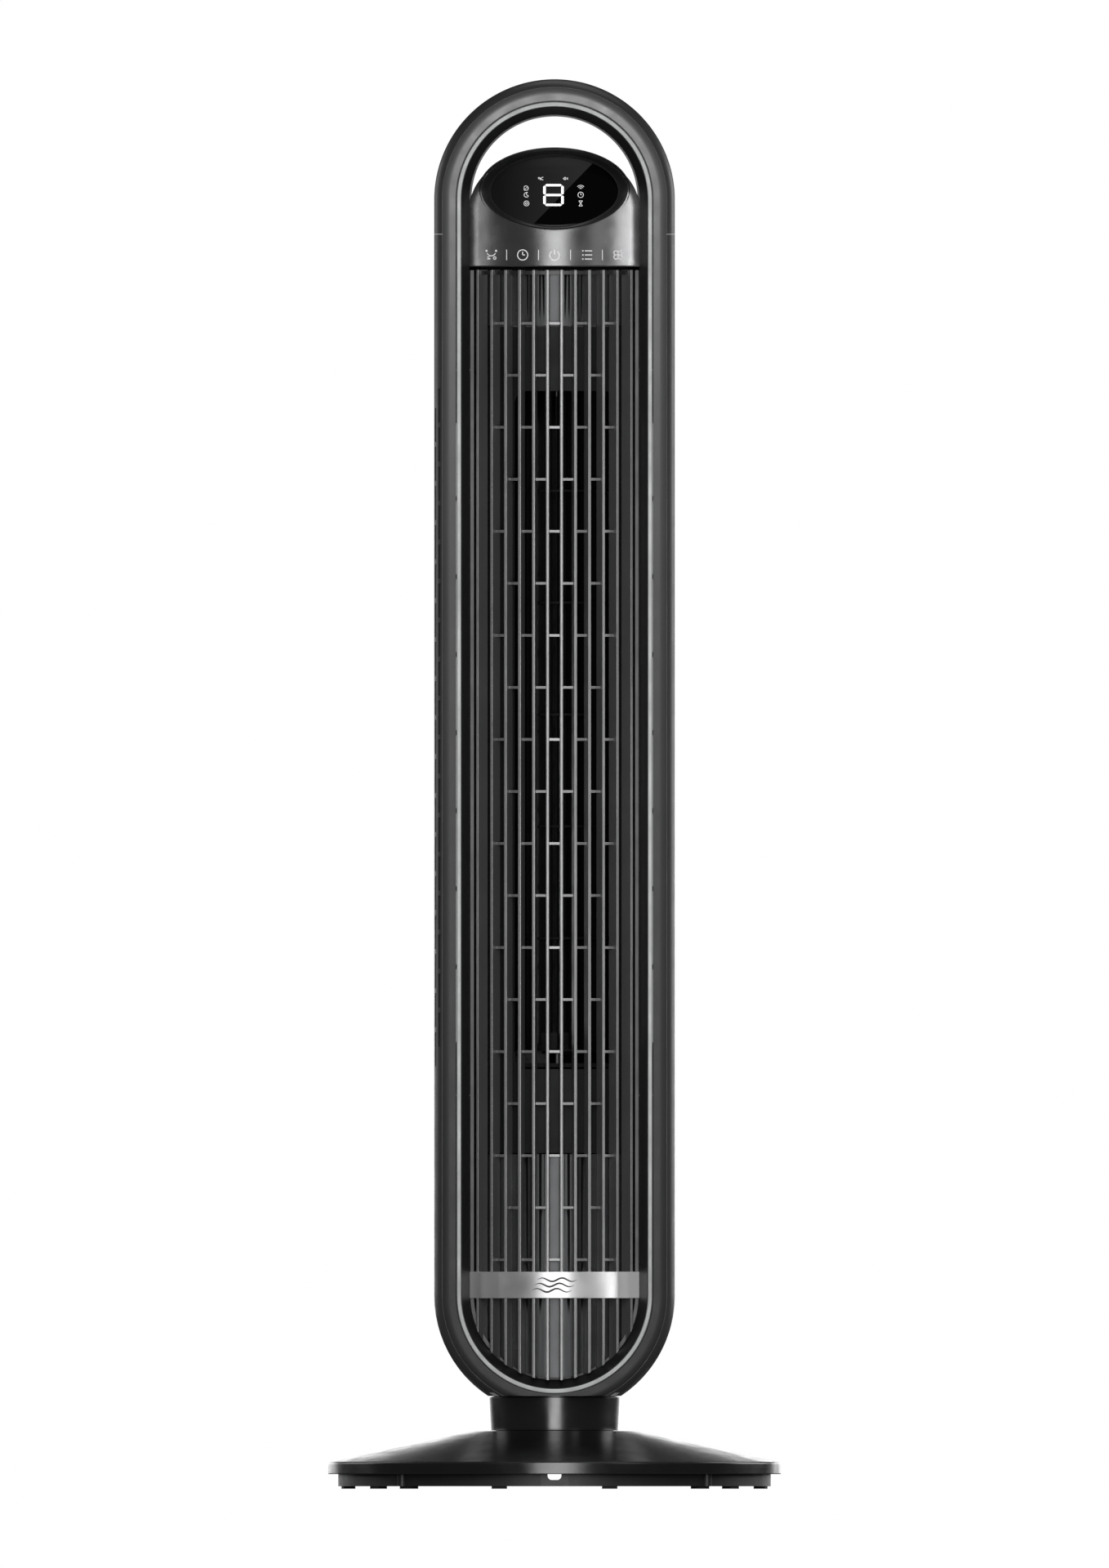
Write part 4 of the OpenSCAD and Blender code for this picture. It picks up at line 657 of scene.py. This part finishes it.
# grille: fins standing on the arc, tabs between them, rails and a side wall
grilleShape = {"fins": 12, "pitch": 10.65 * mm, "thick": 2.1 * mm, "deep": 12 * mm, "bend": 0.55 * mm,
               "tabTop": 42.7 * mm, "tabPitch": 39.35 * mm, "tabRows": 19, "tabTall": 2.1 * mm, "tabDeep": 3.2 * mm,
               "tabBack": 5 * mm, "wall": 3.4 * mm, "wallDeep": 12 * mm, "wallGap": 0.2 * mm}
finPlace = (np.arange(grilleShape["fins"]) - (grilleShape["fins"] - 1) / 2) * grilleShape["pitch"]
finTurn = np.arcsin(finPlace / arcRadius)


# a point on the arc: out along the turn by the radius, then sideways by the offset
def onArc(turn, radius, aside=0):
    return np.stack(np.broadcast_arrays(radius * np.sin(turn) + aside * np.cos(turn),
                                        arcCentreY - radius * np.cos(turn) + aside * np.sin(turn)), -1)


half, deep = grilleShape["thick"] / 2, grilleShape["deep"]
profile, mark = softOutline([[-half, 0], [half, 0], [half, deep], [-half, deep]],
                            [grilleShape["bend"], grilleShape["bend"], 0.2 * mm, 0.2 * mm])
flat = onArc(finTurn[:, None], arcRadius - profile[None, :, 1], profile[None, :, 0])
foot = lowCentre - np.sqrt(fieldRadius ** 2 - np.minimum(np.abs(flat[..., 0]), fieldRadius - 0.1 * mm) ** 2)
tall = np.linspace(0, 1, 9)[None, :, None]
z = foot[:, None, :] + tall * (grilleHigh[2] - foot[:, None, :])
fins = np.concatenate([np.broadcast_to(flat[:, None], (*z.shape, 2)), z[..., None]], -1)
parts = [{"grid": fin, "edge": mark[None, :]} for fin in fins]

row, gapIndex = np.meshgrid(np.arange(grilleShape["tabRows"]), np.arange(1, grilleShape["fins"] - 2),
                            indexing="ij")
present = (row + gapIndex) % 2 == 1
tabZ = headLow[2] - grilleShape["tabTop"] - row[present] * grilleShape["tabPitch"]
half, deep = grilleShape["tabTall"] / 2, grilleShape["tabDeep"]
bends = [0.3 * mm, 0.15 * mm, 0.15 * mm, 0.3 * mm]
profile, mark = softOutline([[0, -half], [deep, -half], [deep, half], [0, half]], bends, 2)
ends = np.stack([finTurn[gapIndex[present]], finTurn[gapIndex[present] + 1]], 1)
flat = onArc(ends[..., None], arcRadius - grilleShape["tabBack"] - profile[None, None, :, 0])
z = tabZ[:, None, None] + np.broadcast_to(profile[:, 1], flat.shape[:-1])
parts += [{"grid": tab, "edge": mark[None, :]} for tab in np.concatenate([flat, z[..., None]], -1)]
addPiece("grilleFins", parts, "grillePaint", "column", ["front_grille"])

# side wall of the grille, down one side, round the bottom and up the other
wallY = arcCentreY - math.sqrt(arcRadius ** 2 - fieldRadius ** 2)
wallBack, wallIn = wallY + grilleShape["wallDeep"], fieldRadius - grilleShape["wall"]
profile, mark = softOutline([[wallIn, wallY], [fieldRadius, wallY], [fieldRadius, wallBack], [wallIn, wallBack]],
                            0.4 * mm, 3)
arcSteps = 72
wallTop = grilleHigh[2] - grilleShape["wallGap"]
turn = np.concatenate([[0], np.linspace(0, -math.pi, arcSteps), [-math.pi]])[:, None]
centre = np.concatenate([[wallTop], np.full(arcSteps, lowCentre), [wallTop]])[:, None]
r = profile[None, :, 0]
depth = np.broadcast_to(profile[None, :, 1], (arcSteps + 2, len(profile)))
grid = np.stack([r * np.cos(turn), depth, centre + r * np.sin(turn)], -1)
railTurn = np.linspace(-0.66, 0.66, 40)[:, None]
parts = [{"grid": grid, "edge": mark[None, :]}]
for railTop, tallRail in ((grilleHigh[2] - 0.5 * mm, 3 * mm), (lowCentre, 2 * mm)):
    profile, mark = softOutline([[arcRadius - 4 * mm, railTop - tallRail], [arcRadius - 4 * mm, railTop],
                                 [arcRadius - 10 * mm, railTop], [arcRadius - 10 * mm, railTop - tallRail]],
                                0.2 * mm, 2)
    flat = onArc(railTurn, profile[None, :, 0])
    height = np.broadcast_to(profile[None, :, 1:], (*flat.shape[:2], 1))
    parts.append({"grid": np.concatenate([flat, height], -1)})
addPiece("grilleWall", parts, "linerPlastic", "column", ["front_grille"])

# badge band across the fins
badgeShape = {"radius": 97.6 * mm, "thick": 2.6 * mm, "bend": 0.5 * mm}
badgeMiddle = (badgeLow[2] + badgeHigh[2]) / 2
outline = [[badgeShape["radius"], badgeLow[2]], [badgeShape["radius"], badgeHigh[2]],
           [badgeShape["radius"] - badgeShape["thick"], badgeHigh[2]],
           [badgeShape["radius"] - badgeShape["thick"], badgeLow[2]]]
profile, mark = softOutline(outline, [badgeShape["bend"], badgeShape["bend"], 0.2 * mm, 0.2 * mm])
reachTurn = math.asin(fieldRadius / badgeShape["radius"])
flat = onArc(np.linspace(-reachTurn, reachTurn, 80)[:, None], profile[None, :, 0])
grid = np.concatenate([flat, np.broadcast_to(profile[None, :, 1:], (*flat.shape[:2], 1))], -1)
addPiece("badgeBand", [{"grid": grid, "edge": mark[None, :]}], "badgeSilver", "column",
         ["badge_band"])
print("grille and badge built")


# a flat printed line: a bar carried along a path, half its width to each side, raised a hair off its surface
def inkLine(path, out, width, closed=False, taper=None, raised=0.06 * mm):
    along = np.roll(path, -1, 0) - np.roll(path, 1, 0) if closed else np.gradient(path, axis=0)
    aside = np.cross(out, along)
    aside /= np.linalg.norm(aside, axis=1, keepdims=True)
    aside *= width / 2 * (1 if taper is None else np.asarray(taper)[:, None])
    low, high = path - out * 0.05 * mm, path + out * raised
    grid = np.stack([low - aside, low + aside, high + aside, high - aside], 1)
    return {"grid": grid, "closeRows": closed}


def arcLine(x, z, radius, start, end, steps=20):
    turn = np.radians(np.linspace(start, end, steps))
    return np.stack([x + radius * np.cos(turn), z + radius * np.sin(turn)], 1)


def straightLine(x0, z0, x1, z1, steps=4):
    return np.stack([np.linspace(x0, x1, steps), np.linspace(z0, z1, steps)], 1)


def circleLine(x, z, radius, steps=26):
    return arcLine(x, z, radius, 0, 360 * (1 - 1 / steps), steps)


# a drawing of width and height laid on the head's upright arc
def onHead(points):
    x = points[:, 0]
    y = headFrontY(x, points[:, 1])
    out = np.stack([x, -np.sqrt(arcRadius ** 2 - x ** 2), 0 * x], 1) / arcRadius
    return np.stack([x, y, points[:, 1]], 1), out


# or on the lens, seen square on from the front
def onLens(points):
    x, z = points[:, 0], points[:, 1]
    return (np.stack([x, displayY(z), z], 1) + headShape["lensProud"] * outOfDisplay,
            np.broadcast_to(outOfDisplay, (len(x), 3)))


def onBadge(points):
    x = points[:, 0]
    out = np.stack([x, -np.sqrt(badgeShape["radius"] ** 2 - x ** 2), 0 * x], 1) / badgeShape["radius"]
    return np.stack([x, arcCentreY + out[:, 1] * badgeShape["radius"], points[:, 1]], 1), out


# a symbol is a list of (points on a unit square, closed, weight)
def symbol(strokes, surface, x, z, size, width):
    return [inkLine(*surface(points * size + (x, z)), width * weight, closed)
            for points, closed, weight in strokes]


swingSymbol = [(arcLine(0, 0.32, 0.40, 205, 335), False, 1), (circleLine(-0.42, 0.36, 0.05, 8), True, 1.3),
               (circleLine(0.42, 0.36, 0.05, 8), True, 1.3), (straightLine(-0.36, -0.34, -0.08, -0.34), False, 1.2),
               (straightLine(-0.36, -0.18, -0.16, -0.18), False, 1), (circleLine(0.30, -0.27, 0.11, 14), True, 1)]
timerSymbol = [(circleLine(0, 0, 0.45), True, 1), (straightLine(0, 0.02, 0, 0.28), False, 1),
               (straightLine(0, 0.0, 0.22, 0.0), False, 1)]
powerSymbol = [(arcLine(0, -0.04, 0.42, 125, 415, 30), False, 1.1), (straightLine(0, 0.04, 0, 0.48), False, 1.1)]
modeSymbol = [(straightLine(-0.2, z, 0.44, z), False, 1) for z in (-0.36, 0, 0.36)] \
    + [(straightLine(-0.44, z, -0.32, z), False, 1.3) for z in (-0.36, 0, 0.36)]
speedSymbol = [(circleLine(0, 0, 0.08, 10), True, 1)] + [
    (arcLine(0.25 * math.cos(t), 0.25 * math.sin(t), 0.19, math.degrees(t) - 140, math.degrees(t) + 120), False, 1)
    for t in np.radians([45, 135, 225, 315])]

keyPrint = {"rise": 8.9 * mm, "size": 8.6 * mm, "line": 0.72 * mm, "dividerTall": 7.8 * mm, "dividerLine": 0.75 * mm,
            "places": [-47.8 * mm, -24.1 * mm, 0, 24.7 * mm, 48.0 * mm],
            "dividers": [-36.2 * mm, -12.1 * mm, 12.1 * mm, 36.2 * mm]}
keyZ = headLow[2] + keyPrint["rise"]
parts = []
for x, strokes in zip(keyPrint["places"], (swingSymbol, timerSymbol, powerSymbol, modeSymbol, speedSymbol)):
    parts += symbol(strokes, onHead, x, keyZ, keyPrint["size"], keyPrint["line"])
for x in keyPrint["dividers"]:
    parts += symbol([(straightLine(0, -0.5, 0, 0.5), False, 0.8)], onHead, x, keyZ, keyPrint["dividerTall"],
                    keyPrint["dividerLine"])
addPiece("keySymbols", parts, "whitePrintPaintedGlow", "column")

# the lit figure: seven bars with pointed ends, closed up to a hair of each other
figure = {"x": -0.75 * mm, "rise": 54.05 * mm, "wide": 13.6 * mm, "tall": 14.9 * mm, "bar": 2.0 * mm,
          "gap": 0.45 * mm}
fx, fz = figure["x"], headLow[2] + figure["rise"]
w, h, g = figure["wide"] / 2, figure["tall"] / 2, figure["gap"]
bars = [(-w + g, h, w - g, h), (-w + g, 0, w - g, 0), (-w + g, -h, w - g, -h), (-w, g, -w, h - g), (w, g, w, h - g),
        (-w, -h + g, -w, -g), (w, -h + g, w, -g)]
parts = []
for x0, z0, x1, z1 in bars:
    line = np.array([0, 0.09, 0.5, 0.91, 1])[:, None] * (np.array([x1, z1]) - (x0, z0)) + (x0, z0)
    parts.append(inkLine(*onLens(line + (fx, fz)), figure["bar"], taper=[0.15, 1, 1, 1, 0.15]))
addPiece("displayFigure", parts, "digitGlow", "column")

leaf = [(arcLine(-0.1, -0.1, 0.42, -60, 140, 16), False, 1), (straightLine(-0.42, 0.1, -0.42, -0.45), False, 1),
        (straightLine(-0.42, -0.45, 0.1, -0.45), False, 1), (straightLine(-0.3, -0.3, 0.15, 0.1), False, 0.8)]
moon = [(arcLine(0, 0, 0.42, 60, 330), False, 1), (arcLine(0.28, 0.18, 0.30, 110, 290, 12), False, 1)]
target = [(circleLine(0, 0, 0.45), True, 1), (circleLine(0, 0, 0.18, 14), True, 1)]
waves = [(arcLine(0, -0.3, r, 40, 140, 14), False, 1) for r in (0.2, 0.45, 0.7)]
hourglass = [(straightLine(-0.32, 0.42, 0.32, 0.42), False, 1), (straightLine(-0.32, -0.42, 0.32, -0.42), False, 1),
             (straightLine(-0.26, 0.38, 0.26, -0.38), False, 1), (straightLine(0.26, 0.38, -0.26, -0.38), False, 1)]
degree = [(circleLine(-0.5, 0.1, 0.16, 12), True, 1), (straightLine(-0.2, 0.2, -0.2, -0.35), False, 1.2),
          (arcLine(0.3, 0, 0.3, 60, 300, 14), False, 1)]
speaker = [(straightLine(-0.55, 0, -0.1, 0.32), False, 1), (straightLine(-0.55, 0, -0.1, -0.32), False, 1),
           (straightLine(-0.1, 0.32, -0.1, -0.32), False, 1), (straightLine(0.15, 0.2, 0.5, -0.2), False, 1),
           (straightLine(0.15, -0.2, 0.5, 0.2), False, 1)]
lensPrint = {"line": 0.5 * mm, "size": 4.2 * mm, "left": -21.2 * mm, "right": 19.8 * mm,
             "rows": [59.6 * mm, 54.2 * mm, 47.7 * mm], "topRow": 66.5 * mm, "top": [-10.0 * mm, 8.5 * mm]}
parts = []
for rise, strokes, other in zip(lensPrint["rows"], (leaf, moon, target), (waves, timerSymbol, hourglass)):
    parts += symbol(strokes, onLens, lensPrint["left"], headLow[2] + rise, lensPrint["size"], lensPrint["line"])
    parts += symbol(other, onLens, lensPrint["right"], headLow[2] + rise, lensPrint["size"] * 1.1,
                    lensPrint["line"])
for x, strokes in zip(lensPrint["top"], (degree, speaker)):
    parts += symbol(strokes, onLens, x, headLow[2] + lensPrint["topRow"], 3.4 * mm, lensPrint["line"])
addPiece("displaySymbols", parts, "symbolGlow", "column")

# a plain airflow mark on the badge: three wavy lines, thin at both ends
badgePrint = {"wide": 30 * mm, "wave": 1.3 * mm, "apart": 4.0 * mm, "line": 1.5 * mm}
run = np.linspace(-1, 1, 60)
parts = []
for shift in (-1, 0, 1):
    wave = np.stack([run * badgePrint["wide"] / 2 + shift * 2 * mm,
                     badgeMiddle + shift * badgePrint["apart"] + badgePrint["wave"] * np.sin(run * 2 * math.pi)], 1)
    parts.append(inkLine(*onBadge(wave), badgePrint["line"], taper=0.12 + 0.88 * (1 - run ** 2)))
addPiece("badgeMark", parts, "printDark", "column")
print("symbols printed")

# floor
half = studio["floorSize"] / 2
floorMesh = bpy.data.meshes.new("floor")
floorCorners = [(-half, -half, 0), (half, -half, 0), (half, half, 0), (-half, half, 0)]
floorMesh.from_pydata(floorCorners, [], [(0, 1, 2, 3)])
floor = bpy.data.objects.new("floor", floorMesh)
bpy.context.scene.collection.objects.link(floor)
floorPaint = bpy.data.materials.new("floorPaint")
floorPaint.use_nodes = True
floorPaint.node_tree.nodes["Principled BSDF"].inputs["Base Color"].default_value = (*studio["floorColour"], 1)
floorPaint.node_tree.nodes["Principled BSDF"].inputs["Roughness"].default_value = 0.8
floorPaint.node_tree.nodes["Principled BSDF"].inputs["Specular IOR Level"].default_value = 0
floorMesh.materials.append(floorPaint)
floor.visible_diffuse = floor.visible_glossy = False       # the floor sends no light back up
floor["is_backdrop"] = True
floorSun = bpy.data.objects.new("floorSun", bpy.data.lights.new("floorSun", "SUN"))
floorSun.data.energy = studio["floorLight"]
floorSun.data.angle = math.radians(studio["floorLightAngle"])
bpy.context.scene.collection.objects.link(floorSun)


# each lamp reaches only its own pieces: the floor its sun, the glints their pieces, the others the whole fan
def linkLamp(lamp, members, shadowsToo):
    linked = bpy.data.collections.new(lamp.name)
    for member in members:
        linked.objects.link(member)
    lamp.light_linking.receiver_collection = linked
    if shadowsToo:
        lamp.light_linking.blocker_collection = linked


fanPieces = [o for o in bpy.data.objects if o.type == "MESH" and o is not floor]
for name in studio["lights"]:
    chosen = studio["lit"].get(name)
    members = [bpy.data.objects[n] for n in chosen] if chosen else fanPieces
    linkLamp(bpy.data.objects[name], members, bool(chosen))
linkLamp(floorSun, [floor], False)
print("floor laid and lamps linked")

low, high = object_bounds()
